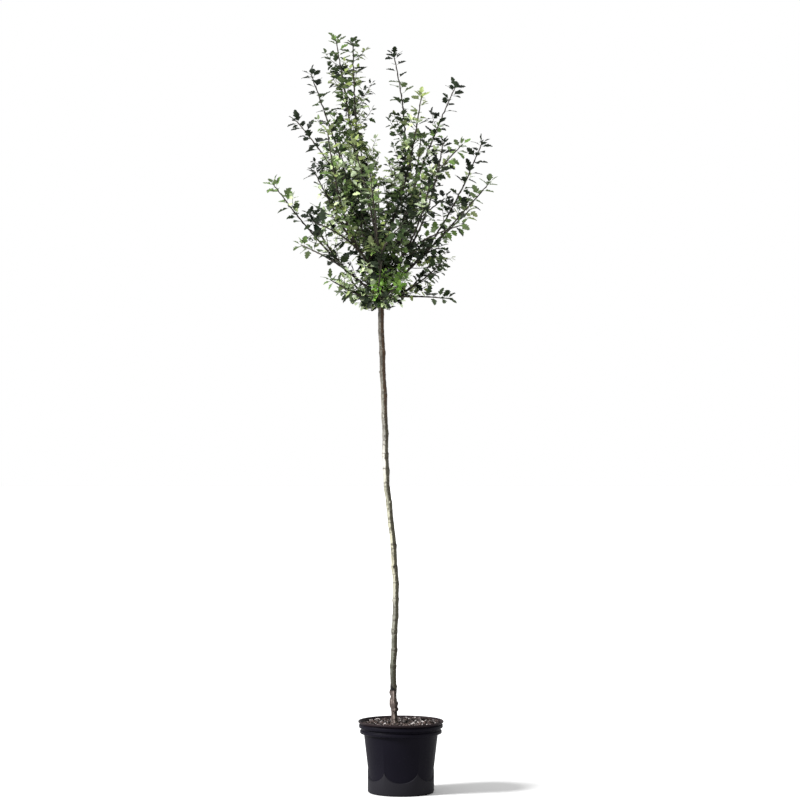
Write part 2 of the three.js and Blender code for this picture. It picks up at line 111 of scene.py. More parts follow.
# the pot's two finishes, each from a low tone to a high one, and where it is worn
POT_TONES = {
    "pot_plastic": ((0.0016, 0.0013, 0.0034), (0.0032, 0.0027, 0.0058), (0.013, 0.0125, 0.015)),
    "pot_foot": ((0.007, 0.0066, 0.0088), (0.0105, 0.01, 0.0125), (0.03, 0.029, 0.031)),
}
POT_DUST = (0.226, 0.238)  # dust gathers from one height to the other, in metres

# The soil, as [radius, height] from the pot's floor up to the mulch, and its relief as (size, height).
SOIL_SIDES = [(96.2, 4.6), (119.3, 190), (125.3, 200), (128.8, 219.5)]
SOIL_TOP = {"height": 222, "radius": 126, "ring": 4, "mounds": (30, 9), "crumbs": (6, 4)}

# The chips: the shortest, the longest and the commonest, how far they lean, and the layer they lie
# in, which is higher to the right and the back and sinks at the pot's edge. Their width and thickness
# are shares of their length, for the first shape and how much more for each that follows.
MULCH = {
    "count": 3600,
    "shapes": 5,
    "torn": 0.24,
    "wide": (0.34, 0.05),
    "thick": (0.13, 0.02),
    "sizes": (4, 17, 8),
    "radius": 128,
    "lean": 0.5,
    "ground": 223,
    "layer": 7,
    "mound": (2.5, 2),
    "sunk": 1.5,
    "edge": 130,
    "tones": {
        "brown": (0.046, 0.03, 0.025),
        "dark": (0.01, 0.007, 0.006),
        "rosy": (0.12, 0.097, 0.095),
        "pale": (0.34, 0.31, 0.3),
    },
    "shares": (33, 42, 16, 9),
}

TRUNK_FOOT = (-21, 0, 226.3)
TRUNK_HEIGHT = 1537
TRUNK_RADII = {"foot": 9.9, "fork": 9.6, "flare": 4.2, "flare_height": 12}
GRAFT = {"swell": 2.2, "height": 62, "span": 15}
# the nodes up the stem: their spacing, how far they swell out, how far above and below them that
# fades, the half width and length of the scar on each, and the dark ring above it, which is drawn only
# on what stands near the stem's axis
NODES = {
    "first": 122,
    "last": 40,
    "spacing": (44, 74),
    "swell": (0.7, 1.9),
    "fades": (4, 12),
    "scar": 2.2,
    "sunk": 1.6,
    "long": 1.25,
    "ring": 1.9,
    "ring_above": 2,
    "near": 16,
}
# how far the stem turns aside at each node, the share of it that it turns to the back and how many
# steps further up
CROOKS = {"step": 6, "turn": 1.1, "behind": 0.6, "later": 9}
# how far the stem's axis stands from its foot, as (sideways, front to back, height)
TRUNK_BENDS = [
    (0, 0, 0),
    (-4.5, 2, 140),
    (1.5, 5, 330),
    (4.5, 4, 430),
    (-6, 0, 610),
    (-26, -5, 800),
    (-32, -4, 1000),
    (-45.5, 3, 1370),
    (-44.5, 4, 1537),
]
CROWN_FOOT = 1394
# the bark's colour on its lit side, as (height above the ground in metres, colour)
BARK_AGES = [
    (0.38, (0.085, 0.088, 0.068)),
    (0.5, (0.115, 0.117, 0.092)),
    (0.62, (0.27, 0.262, 0.22)),
    (0.76, (0.34, 0.325, 0.24)),
    (1.0, (0.35, 0.345, 0.265)),
    (1.1, (0.43, 0.415, 0.375)),
    (1.22, (0.36, 0.345, 0.3)),
    (1.3, (0.15, 0.145, 0.12)),
    (1.75, (0.095, 0.083, 0.07)),
]
# the heights where it changes, in metres: the rootstock's bark ends, a dark cut begins below that and
# ends above it, and the painted shade on one side turns from grey to brown
BARK_HEIGHTS = {
    "graft": (0.346, 0.352),
    "cut": (0.336, 0.34),
    "healed": (0.352, 0.356),
    "ripe": (1.25, 1.4),
}
# the rootstock's colours, as (tone, colour)
STOCK_TONES = [
    (0.42, (0.016, 0.01, 0.008)),
    (0.5, (0.06, 0.045, 0.038)),
    (0.57, (0.26, 0.215, 0.19)),
]
# the swellings that make the graft and the root's spurs, as (height, heading, out, half sizes)
GRAFT_KNOBS = [
    (66, 5, 8.2, (6.5, 7.5, 9)),
    (47, 350, 10.2, (5.2, 6.5, 5.6)),
    (78, 320, 7, (5.5, 5.5, 6.5)),
    (58, 292, 7.5, (7.2, 7.2, 13)),
    (45, 284, 8.2, (8.4, 8.4, 6.4)),
    (68, 190, 6.5, (8.6, 9, 22)),
    (86, 120, 5, (8, 8, 14)),
    (102, 184, 8.4, (6, 6.5, 11)),
    (112, 10, 5, (6.6, 6.6, 4.2)),
    (4, 20, 6, (6, 6, 12)),
    (4, 140, 6, (6, 6, 10)),
    (4, 255, 6, (6.5, 6, 13)),
]
# a bough's radii, its way, and the collar that swells a little way up it
BOUGH = {
    "seat": 5.2,
    "leader_seat": 9.2,
    "tip": 3.4,
    "climb": 0.8,
    "bend": 0.5,
    "collar": (6.6, 6.6, 7.8),
    "collar_at": 0.1,
}
# the spacing and the sides of the rings that the stem and the boughs are drawn from
STEM_RINGS = (5, 24)
BOUGH_RINGS = (10, 16)
# how the wood's skin is made: the size of its facets, how often they are smoothed, and its relief as
# (size, height)
SKIN = {"facet": 1.6, "smoothings": 4, "lumps": (20, 1.6), "ridges": (5, 1.1)}
# the creases in it, which are darkened as painted shade and dirt: how far round about they are measured
# from, the depth that is dark all over, and how dark a level place is
CREASES = {"spread": 14, "depth": 0.5, "level": 0.25}

# Each mass: the seat of its bough above the crown's foot, the bough's heading, reach and rise, and
# its whips, each the heading, reach and rise of its topmost leaf. A low mass has no bough.
MASSES = {
    "left": (8, 172, 66, 62, [(185, 372, 404), (157, 312, 205), (202, 262, 300), (182, 175, 150)]),
    "right": (20, 4, 66, 78, [(-5, 380, 410), (10, 356, 552), (26, 352, 330), (352, 215, 190)]),
    "front": (32, 268, 64, 88, [(264, 330, 420), (283, 312, 240), (248, 240, 520), (258, 165, 190)]),
    "back": (44, 92, 64, 100, [(92, 330, 430), (74, 312, 250), (108, 250, 560), (100, 165, 200)]),
    "front_right": (56, 318, 62, 114, [(333, 325, 255), (304, 300, 380), (322, 270, 530)]),
    "front_left": (68, 224, 62, 128, [(221, 312, 262), (232, 285, 560), (210, 262, 440)]),
    "back_right": (80, 52, 60, 142, [(60, 280, 590), (44, 318, 372)]),
    "back_left": (90, 132, 60, 154, [(122, 280, 610), (138, 308, 330)]),
    "right_high": (100, 350, 50, 178, [(11, 260, 736), (338, 304, 528)]),
    "left_high": (112, 182, 50, 194, [(192, 242, 768), (160, 314, 628)]),
    "tall_left": (124, 150, 60, 240, [(165, 158, 893), (214, 112, 868), (140, 178, 800)]),
    "leader": (136, 20, 20, 216, [(62, 92, 849), (322, 178, 690)]),
    "low_left": (2, 190, 0, 0, [(198, 198, 78), (158, 150, 36), (182, 150, 150)]),
    "low_right": (8, 355, 0, 0, [(7, 252, 10), (335, 240, 132), (15, 190, 140)]),
    "low_front": (-6, 268, 0, 0, [(245, 130, 20), (296, 150, 50), (272, 180, 140)]),
    "low_back": (-12, 96, 0, 0, [(118, 135, 20), (70, 150, 40), (98, 180, 130)]),
}
LOW_CLIMB = 0.15
FOLIAGE = [f"foliage_{name}" for name in MASSES]

# The growth rule of the solids, carried to finer steps. Places along a shoot are shares of its length.
WHIP = {
    "radius": 3.4,
    "tip": 1.5,
    "bend": 0.42,
    "fork_bend": 0.36,
    "fork_from": 0.07,
    "taper": 0.85,
    "joint": 11.5,  # from node to node
    "swing": 3.2,  # how far it turns to and fro
    "knot": 1.35,  # how much thicker it is at every second node
    "sides": 7,
}
# the spurs on a whip's older wood, and how far their leaves fan out
SPURS = {
    "from": 0.02,
    "to": 0.6,
    "step": 20,
    "length": (8, 26),
    "angle": 60,
    "lift": 0.2,
    "bend": 0.5,
    "radius": 0.9,
    "tip": 0.675,
    "joint": 6,
    "sides": 4,
    "leaves": (6, 9),
    "spread": (25, 75),
}
# the single leaves on a whip's young end, and on its older wood where no spur grows; "opens" is the
# share of the full angle that a leaf has at the tip, the length that adds one to it, and the most
WHIP_LEAVES = {
    "least": 27,
    "most": 38,
    "varies": (0.8, 1.1),
    "opens": (0.55, 26, 1),
    "tuft": 15,  # the last stretch of a whip, where its leaves crowd together
    "tuft_step": 2.6,
    "step": 20,
    "paired": 0.65,  # how many of the others have a second leaf beside them
    "pair_turn": 75,
    "pair_size": 0.85,
    "bare": 0.4,  # how many places without a spur have a leaf
    "spray": 4,  # from one spray's tint to the next, in leaves
}
TWIGS = {
    "from": 0.03,
    "to": 0.8,
    "step": 28,
    "length": 112,
    "varies": (0.45, 1.25),
    "shorter": 0.85,  # how much shorter they are at the whip's tip
    "slighter": 0.3,  # and how much thinner
    "angle": 52,
    "lift": 0.35,
}
# a mass whose whips are leafy to their tips, with the values that it changes
BUSHY = {"tall_left": {"to": 0.9, "shorter": 0.6, "step": 42, "leaf_step": 16}}
# the twigs on the boughs, and those on the stem between two heights above the crown's foot
BOUGH_TWIGS = {"from": 0.2, "step": 13, "least": 30, "most": 95}
STEM_TWIGS = {"from": -22, "to": 128, "step": 6, "least": 30, "most": 88}
INNER_TWIGS = {"angle": 72, "lift": 0.1, "rise": 0.2}
TWIG = {
    "radius": 1.5,
    "tip": 0.6,
    "bend": 0.5,
    "joint": 9,
    "swing": 1,
    "knot": 1.12,
    "sides": 5,
    "bare_foot": 0.12,
}
TWIG_LEAVES = {
    "least": 16,
    "most": 27,
    "varies": (0.82, 1.12),
    "opens": (0.4, 22, 1.1),
    "tuft": 8,
    "tuft_step": 4,
    "step": 7,
}
STEP_VARIES = (0.75, 1.25)  # how much shorter or longer a step may be
# how far a shoot turns back at its next node, and its swing along each axis
SWING = {"back": 0.5, "share": (0.4, 0.4, 0.15)}
ASKEW = (0.31, 0.17, 0.94)  # a direction that no shoot follows
PAST_WHIP = 26  # from a whip's end to the tip of its topmost leaf
TESTS = 12  # spacing of the points that are tested for room
LEAF = {
    "growth": 0.3,  # how much larger a leaf is for every millimetre below the tip
    "petiole": 0.28,
    "half_width": 0.4,
    "angle": 70,
    "lift": 0.08,
    "lean": 0.36,
    "steep": 0.2,  # a leaf that would stand more upright than this is left out
    "thick": 0.012,
    "fold": (0.12, 0.5),
    "droop": (0, 0.3),
    "roll": 0.12,
    "ripple": 0.03,
    "shapes": 6,
}
# a leaf's stalk, in lengths of its blade
STALK = {"points": [(0, -0.02, 0), (0, 0.14, 0.01), (0, 0.32, -0.002)], "radii": (0.016, 0.013, 0.012)}
# the crown's underside: its lowest leaf at the stem, and how it rises further out
LOWEST_LEAF = -34
FOOT_SLOPE = {"from": 70, "slope": 0.16}

# The blade's right half from its root to its tip: half width, height, and where the midrib is met,
# as shares of its length.
LEAF_ROWS = [
    (0.0, 0.0, 0.0),
    (0.09, 0.12, 0.09),
    (0.33, 0.3, 0.2),
    (0.37, 0.44, 0.32),
    (0.2, 0.47, 0.43),
    (0.32, 0.66, 0.56),
    (0.2, 0.74, 0.69),
    (0.18, 0.89, 0.83),
    (0.0, 1.0, 1.0),
]

# How far the full part of the crown reaches from its middle, at heights above its foot, and how far
# right of the stem that middle stands. Most spurs and twigs grow inside it, and few outside.
FULL_RISES = (-34, 46, 130, 211, 294, 376, 459, 540, 620, 700)
FULL_REACHES = (60, 62, 76, 115, 190, 235, 235, 170, 100, 30)
FULL_ASIDES = (0, 0, 15, 0, -10, 0, 30, 65, 80, 80)
FULL = 0.82
THIN = 0.3

# young bark and old on the shoots
SHOOT_TONES = {
    "whip": ((0.012, 0.009, 0.007), (0.04, 0.033, 0.024)),
    "twig": ((0.018, 0.014, 0.009), (0.05, 0.042, 0.028)),
}

# How the leaves are coloured, spray by spray: the upper side, the underside, how many of the twigs'
# sprays, and how many of the whips' own and of those in the crown's shaded heart.
TINTS = {
    "deep": ((0.006, 0.01, 0.005), (0.018, 0.027, 0.014), 22, 41),
    "dark": ((0.022, 0.039, 0.012), (0.048, 0.07, 0.032), 18, 32),
    "green": ((0.077, 0.13, 0.032), (0.115, 0.16, 0.068), 19, 19),
    "olive": ((0.175, 0.22, 0.068), (0.205, 0.25, 0.11), 17, 8),
    "pale": ((0.43, 0.52, 0.27), (0.46, 0.545, 0.35), 24, 0),
    "fresh": ((0.115, 0.235, 0.035), (0.17, 0.29, 0.06), 0, 0),
}
FRESH = {"heading": 288, "reach": 100, "rise": 74, "radius": 66, "share": 0.85}
# the crown's heart, whose sprays are dealt darker tints as painted shade
HEART = {"heading": 300, "reach": 60, "rise": 245, "radius": 150}
SEEDS = {"mulch": 53, "nodes": 17, "leaf_shapes": 401, "tints": 97, "chips": 31}
SEED = 2024

CAMERA = {"place": (-0.003, -8.6, 1.2936), "sensor": 36, "width": 2.64}
FLOOR = {"size": 60, "height": -0.0004}
LIGHT = {"surround": 1.0, "from": (-0.85, -0.32, 0.6), "strength": 8, "softness": 16}

# ---- Finishes -----------------------------------------------------------------------------------


class Value:
    """A number that changes over a surface. An expression on values adds its Math nodes."""

    def __init__(self, finish, socket):
        self.finish = finish
        self.socket = socket

    def maths(self, operation, first, second):
        return self.finish.add("ShaderNodeMath", {"operation": operation}, {0: first, 1: second})

    def __add__(self, other):
        return self.maths("ADD", self, other)

    __radd__ = __add__

    def __mul__(self, other):
        return self.maths("MULTIPLY", self, other)

    __rmul__ = __mul__

    def __sub__(self, other):
        return self.maths("SUBTRACT", self, other)

    def __rsub__(self, other):
        return self.maths("SUBTRACT", other, self)


class Finish:
    """A material on a Principled shader, with its constants set on the shader's own sockets."""

    def __init__(self, name, constants):
        self.material = bpy.data.materials.new(name)
        self.material.use_nodes = True
        self.tree = self.material.node_tree
        self.shader = self.tree.nodes["Principled BSDF"]
        self.coordinates = self.add("ShaderNodeTexCoord", output="Object")
        for socket, value in constants.items():
            self.shader.inputs[socket].default_value = value

    def feed(self, socket, value):
        if isinstance(value, Value):
            self.tree.links.new(value.socket, socket)
        else:
            socket.default_value = value

    def add(self, kind, settings=None, inputs=None, output=0):
        """A node of any kind: its settings first, then the values or links of its sockets."""
        node = self.tree.nodes.new(kind)
        for setting, value in (settings or {}).items():
            if setting == "stops":
                ramp = node.color_ramp
                while len(ramp.elements) < len(value):
                    ramp.elements.new(0.5)
                for element, (position, colour) in zip(ramp.elements, value):
                    element.position = position
                    element.color = (*colour, 1)
            else:
                setattr(node, setting, value)
        for socket, value in (inputs or {}).items():
            self.feed(node.inputs[socket], value)
        return Value(self, node.outputs[output])

    def part(self, vector, axis):
        """One of a vector's three parts."""
        return self.add("ShaderNodeSeparateXYZ", {}, {0: vector}, output=axis)

    def mark(self, name):
        """A number that the mesh itself carries from place to place."""
        return self.add("ShaderNodeAttribute", {"attribute_name": name}, output=2)

    def stretched(self, scale):
        """The piece's own coordinates, scaled along each axis."""
        return self.add("ShaderNodeMapping", {}, {"Vector": self.coordinates, "Scale": scale})

    def noise(self, size, detail=3.0, scale=(1, 1, 1), roughness=0.5):
        """Clouded noise from 0 to 1 with spots of about a size, in metres."""
        place = self.stretched(scale)
        inputs = {"Vector": place, "Scale": 1 / size, "Detail": detail, "Roughness": roughness}
        return self.add("ShaderNodeTexNoise", {}, inputs)

    def step(self, value, low, high):
        """0 below one value, 1 above the other, and smooth between."""
        settings = {"interpolation_type": "SMOOTHSTEP"}
        return self.add("ShaderNodeMapRange", settings, {0: value, 1: low, 2: high})

    def ramp(self, value, stops):
        return self.add("ShaderNodeValToRGB", {"stops": stops}, {0: value})

    def mix(self, factor, first, second):
        """Two colours mixed by a factor."""
        first = first if isinstance(first, Value) else (*first, 1)
        second = second if isinstance(second, Value) else (*second, 1)
        settings = {"data_type": "RGBA"}
        return self.add("ShaderNodeMix", settings, {0: factor, 6: first, 7: second}, output=2)

    def bump(self, relief, depth, under=None):
        """A bump of a depth in metres, over another bump where one is given."""
        inputs = {"Height": relief, "Distance": depth}
        if under:
            inputs["Normal"] = under
        return self.add("ShaderNodeBump", {}, inputs)

    def paint(self, **links):
        """Feeds the shader's varying sockets."""
        for name, value in links.items():
            self.feed(self.shader.inputs[name.replace("_", " ").title()], value)
        return self.material


def bark_finish():
    """Bark in the colours of its ages: ringed, scarred and pitted, with painted shade on its right side
    and far left edge, and painted shade and dirt in its creases.
    """
    finish = Finish("bark", {"Specular IOR Level": 0.15})
    broad = finish.noise(0.05, detail=4, scale=(1, 1, 0.35))
    streaks = finish.noise(0.006, detail=5, scale=(1, 1, 0.14), roughness=0.65)
    fine = finish.noise(0.0022, detail=3)
    pores = finish.step(finish.noise(0.0055, detail=1, scale=(0.6, 0.6, 1.9)), 0.66, 0.72)
    scars = finish.step(finish.noise(0.018, detail=3, scale=(0.7, 0.7, 1.6)), 0.56, 0.64)
    rings, hollows = finish.mark("ring"), finish.mark("hollow")
    tone = broad * 0.55 + streaks * 0.45
    height = finish.part(finish.coordinates, 2)
    rightwards = finish.part(finish.add("ShaderNodeTexCoord", output="Normal"), 0)
    ages = [(place / 2, colour) for place, colour in BARK_AGES]
    lit = finish.ramp(height * 0.5 + broad * 0.05 - 0.025, ages)
    stem = finish.mix(finish.step(tone, 0.42, 0.54), finish.mix(0.4, (0, 0, 0), lit), lit)
    # Painted shade: by the normal's X, the right side and the far left edge are darkened towards a grey
    # colour low down and a brown one higher up.
    ripe = finish.step(height + broad * 0.2, *BARK_HEIGHTS["ripe"])
    painted_shade_colour = finish.mix(ripe, (0.036, 0.033, 0.02), (0.042, 0.024, 0.013))
    border = rightwards + streaks * 0.6 + broad * 0.5
    shaded = finish.step(border, 0.43, 0.55) + finish.step(border, 0.05, -0.3) * 0.4
    stem = finish.mix(shaded * 0.94, stem, painted_shade_colour)
    stock = finish.ramp(tone, STOCK_TONES)
    # The rootstock's right side and its far left edge are darkened: painted shade.
    stock = finish.mix(finish.step(border, 0.6, 0.8) * 0.9, stock, (0.02, 0.013, 0.01))
    stock = finish.mix(finish.step(border, 0.6, 0.25) * 0.9, stock, (0.036, 0.026, 0.023))
    above_graft = finish.step(height + broad * 0.02, *BARK_HEIGHTS["graft"])
    colour = finish.mix(above_graft, stock, stem)
    cut = finish.step(height + streaks * 0.006, *BARK_HEIGHTS["cut"])
    healed = finish.step(height + streaks * 0.016 + rightwards * 0.012, *BARK_HEIGHTS["healed"])
    colour = finish.mix(cut * (1 - healed), colour, (0.003, 0.0025, 0.002))
    colour = finish.mix(scars * 0.6, colour, (0.03, 0.024, 0.018))
    colour = finish.mix(rings * finish.step(broad, 0.38, 0.6) * 0.85, colour, (0.022, 0.017, 0.012))
    # The creases are darkened: painted shade, with the dirt that gathers there.
    colour = finish.mix(hollows * 0.95, colour, (0.012, 0.008, 0.006))
    colour = finish.mix(pores * 0.45, colour, (0.26, 0.25, 0.21))
    relief = finish.bump(streaks * 0.6 + fine * 0.4 - scars * 0.5, 0.0012)
    return finish.paint(base_color=colour, roughness=0.62 + fine * 0.3, normal=relief)


def shoot_finish(name, young, old):
    """Smooth bark of whips and twigs, from a young colour to an old one in patches."""
    finish = Finish(name, {"Specular IOR Level": 0.2})
    patches = finish.noise(0.03, detail=3)
    fine = finish.noise(0.003, detail=2)
    colour = finish.mix(finish.step(patches + fine * 0.3, 0.45, 0.85), young, old)
    relief = finish.bump(fine, 0.0005)
    return finish.paint(base_color=colour, roughness=0.45 + fine * 0.3, normal=relief)


def leaf_finish(name, colour, roughness):
    """A leaf's side: one plain colour, with a sheen that breaks up from place to place."""
    finish = Finish(name, {"Base Color": (*colour, 1), "Specular IOR Level": 0.12})
    return finish.paint(roughness=roughness + finish.noise(0.012, detail=2) * 0.2)


def pot_finish(name, low, high, worn):
    """Blue-black moulded plastic with a dull sheen, faint streaks, scuffs and dust."""
    finish = Finish(name, {"Specular IOR Level": 0.05})
    cloud = finish.noise(0.09, detail=4)
    streaks = finish.noise(0.012, detail=4, scale=(1, 1, 0.12))
    grain = finish.noise(0.0016, detail=2)
    scuffs = finish.step(finish.noise(0.02, detail=5, scale=(1, 1, 3), roughness=0.75), 0.62, 0.75)
    height = finish.part(finish.coordinates, 2)
    colour = finish.mix(cloud, low, high)
    colour = finish.mix(scuffs * 0.4, colour, worn)
    dust = finish.step(height + cloud * 0.008, *POT_DUST)
    colour = finish.mix(dust * 0.8, colour, (0.016, 0.0105, 0.011))
    relief = finish.bump(grain * 0.5 + streaks * 0.5, 0.0004)
    rough = 0.46 + streaks * 0.16 + scuffs * 0.2
    return finish.paint(base_color=colour, roughness=rough, normal=relief)


def soil_finish():
    """Dark crumbly potting soil."""
    finish = Finish("potting_soil", {"Specular IOR Level": 0.2})
    crumbs = finish.noise(0.006, detail=6, roughness=0.7)
    tones = [(0.012, 0.009, 0.007), (0.05, 0.036, 0.027), (0.13, 0.095, 0.07)]
    colour = finish.ramp(crumbs, list(zip((0.3, 0.55, 0.75), tones)))
    relief = finish.bump(crumbs, 0.004)
    return finish.paint(base_color=colour, roughness=0.8 + crumbs * 0.2, normal=relief)


def chip_finish(name, colour):
    """Coarse bark chips with darker pits and torn pale edges."""
    finish = Finish(name, {"Specular IOR Level": 0.25})
    fibre = finish.noise(0.003, detail=5, scale=(1, 0.4, 1), roughness=0.7)
    dark = tuple(0.35 * channel for channel in colour)
    pale = tuple(min(1, 1.7 * channel) for channel in colour)
    tone = finish.ramp(fibre, [(0.32, dark), (0.52, colour), (0.72, pale)])
    relief = finish.bump(fibre, 0.0015)
    return finish.paint(base_color=tone, roughness=0.75 + fibre * 0.2, normal=relief)


def floor_finish():
    """A plain pale studio floor."""
    finish = Finish("floor", {"Roughness": 0.9, "Specular IOR Level": 0.1})
    tone = finish.noise(0.6, detail=2)
    return finish.paint(base_color=finish.mix(tone, (0.6, 0.6, 0.6), (0.64, 0.64, 0.64)))


# ---- Modelling ----------------------------------------------------------------------------------


def start():
    """Leaves nothing selected, so that the next operator acts on its own piece alone."""
    if bpy.context.object and bpy.context.object.mode != "OBJECT":
        bpy.ops.object.mode_set(mode="OBJECT")
    bpy.ops.object.select_all(action="DESELECT")


def pick(*pieces):
    """Selects these pieces alone, with the first of them active."""
    start()
    for piece in pieces:
        piece.select_set(True)
    bpy.context.view_layer.objects.active = pieces[0]


def apply_modifier(piece, kind, **settings):
    modifier = piece.modifiers.new(kind.lower(), kind)
    for setting, value in settings.items():
        setattr(modifier, setting, value)
    pick(piece)
    bpy.ops.object.modifier_apply(modifier=modifier.name)


def join(name, pieces):
    pick(*pieces)
    bpy.ops.object.join()
    pieces[0].name = name
    return pieces[0]


def smooth(piece, angle):
    """Shades a piece smooth where its faces meet at less than an angle."""
    pick(piece)
    bpy.ops.object.shade_smooth_by_angle(angle=math.radians(angle))


def face_outwards(piece):
    pick(piece)
    bpy.ops.object.mode_set(mode="EDIT")
    bpy.ops.mesh.select_all(action="SELECT")
    bpy.ops.mesh.remove_doubles(threshold=1e-6)
    bpy.ops.mesh.normals_make_consistent(inside=False)
    bpy.ops.object.mode_set(mode="OBJECT")


def settle(piece, slot, *nodes):
    """Rides a finished piece on the plant and hides the solids it stands for. Its slot is not used."""
    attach(piece, "root")
    if nodes:
        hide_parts(*nodes)
    return piece


def dress(piece, *materials):
    piece.data.materials.clear()
    for material in materials:
        piece.data.materials.append(material)


def stack_of_rings(name, rings, segments):
    """A round body round +Z: a disc, extruded from ring to ring and sized to each radius."""
    start()
    (radius, height), *others = rings
    bpy.ops.mesh.primitive_circle_add(
        vertices=segments, radius=radius, fill_type="NGON", location=(0, 0, height)
    )
    piece = bpy.context.object
    piece.name = name
    bpy.ops.object.transform_apply(location=True)
    bpy.ops.object.mode_set(mode="EDIT")
    for next_radius, next_height in others:
        lift = (0, 0, next_height - height)
        bpy.ops.mesh.extrude_region_move(TRANSFORM_OT_translate={"value": lift})
        bpy.ops.transform.resize(value=(next_radius / radius, next_radius / radius, 1))
        radius, height = next_radius, next_height
    bpy.ops.object.mode_set(mode="OBJECT")
    face_outwards(piece)
    return piece


def mesh_of(name, vertices, triangles, materials, kinds=None):
    """A mesh from arrays of vertices and triangles, with a material number for every triangle."""
    mesh = bpy.data.meshes.new(name)
    mesh.vertices.add(len(vertices))
    mesh.vertices.foreach_set("co", vertices.astype(np.float32).ravel())
    mesh.loops.add(3 * len(triangles))
    mesh.loops.foreach_set("vertex_index", triangles.astype(np.int32).ravel())
    mesh.polygons.add(len(triangles))
    mesh.polygons.foreach_set("loop_start", np.arange(0, 3 * len(triangles), 3, dtype=np.int32))
    if kinds is not None:
        mesh.polygons.foreach_set("material_index", kinds.astype(np.int32))
    mesh.update(calc_edges=True)
    piece = bpy.data.objects.new(name, mesh)
    bpy.context.scene.collection.objects.link(piece)
    for material in materials:
        mesh.materials.append(material)
    return piece


# ---- Paths --------------------------------------------------------------------------------------


class Path:
    """A smooth curve: close points, and the length up to each of them."""

    def __init__(self, points):
        self.points = np.asarray(points, float)
        strides = np.linalg.norm(np.diff(self.points, axis=0), axis=1)
        self.reached = np.concatenate([[0], np.cumsum(strides)])
        self.length = self.reached[-1]

    def at(self, share):
        """The point at a share of the length."""
        reach = share * self.length
        return np.array([np.interp(reach, self.reached, self.points[:, k]) for k in range(3)])

    def heading(self, share):
        return unit(self.at(min(share + 0.01, 1)) - self.at(max(share - 0.01, 0)))

    def resampled(self, spacing):
        count = max(2, round(self.length / spacing) + 1)
        return np.array([self.at(share) for share in np.linspace(0, 1, count)])


def unit(vector):
    return vector / np.linalg.norm(vector)


def sweep(first, direction, last, bend):
    """The path that leaves a point in one direction and arrives at another point."""
    corner = first + direction * np.linalg.norm(last - first) * bend
    t = np.linspace(0, 1, 41)[:, None]
    return Path((1 - t) ** 2 * first + 2 * t * (1 - t) * corner + t**2 * last)


def flowing(points):
    """The path of a centripetal Catmull-Rom spline through points."""
    ends = [2 * points[0] - points[1], *points, 2 * points[-1] - points[-2]]
    traced = []
    for before, first, last, after in zip(ends, ends[1:], ends[2:], ends[3:]):
        spans = (first - before, last - first, after - last)
        gaps = [np.linalg.norm(span) ** 0.5 for span in spans]
        leave = (first - before) / gaps[0] - (last - before) / (gaps[0] + gaps[1])
        leave = (leave + (last - first) / gaps[1]) * gaps[1]
        arrive = (last - first) / gaps[1] - (after - first) / (gaps[1] + gaps[2])
        arrive = (arrive + (after - last) / gaps[2]) * gaps[1]
        for t in np.linspace(0, 1, 30, endpoint=False):
            cube, square = t**3, t**2
            traced.append(
                (2 * cube - 3 * square + 1) * first
                + (cube - 2 * square + t) * leave
                + (3 * square - 2 * cube) * last
                + (cube - square) * arrive
            )
    return Path([*traced, points[-1]])


def bearing(heading):
    """The level direction at a heading."""
    angle = math.radians(heading)
    return np.array([math.cos(angle), math.sin(angle), 0.0])


def upwards(rise):
    return np.array([0.0, 0.0, rise])


def outward(heading, climb):
    return unit(bearing(heading) + upwards(climb))


trunk_path = flowing([MM * (np.array(TRUNK_FOOT) + bend) for bend in np.array(TRUNK_BENDS, float)])


def on_trunk(rise):
    return trunk_path.at((CROWN_FOOT + rise) / TRUNK_HEIGHT)


def crown_point(heading, reach, rise):
    return on_trunk(0) + MM * (reach * bearing(heading) + upwards(rise))


def turned_about(tangent, turn, angle, lift):
    """The direction that stands off an axis at an angle, turned round it, then lifted."""
    turn, angle = math.radians(turn), math.radians(angle)
    across = np.cross(tangent, (0, 0, 1))
    across = unit(across if np.linalg.norm(across) > 0.01 else np.array([1.0, 0, 0]))
    beside = np.cross(tangent, across)
    spoke = math.cos(turn) * across + math.sin(turn) * beside
    direction = math.sin(angle) * spoke + math.cos(angle) * tangent
    return unit(direction + upwards(lift))


# ---- Pot, soil and mulch ------------------------------------------------------------------------


def wall_radius(height):
    return POT_WALL["foot"] + (POT_WALL["top"] - POT_WALL["foot"]) * height / POT_WALL["top_height"]


def scallop(angle):
    """Height of the foot band's edge at an angle: round valleys that meet in points."""
    turn = (angle * POT_FOOT["scallops"] / math.tau) % 1
    bows = [1 - math.sqrt(1 - POT_FOOT["round"] * share**2) for share in (abs(2 * turn - 1), 1)]
    return POT_FOOT["valley"] + (POT_FOOT["peak"] - POT_FOOT["valley"]) * bows[0] / bows[1]


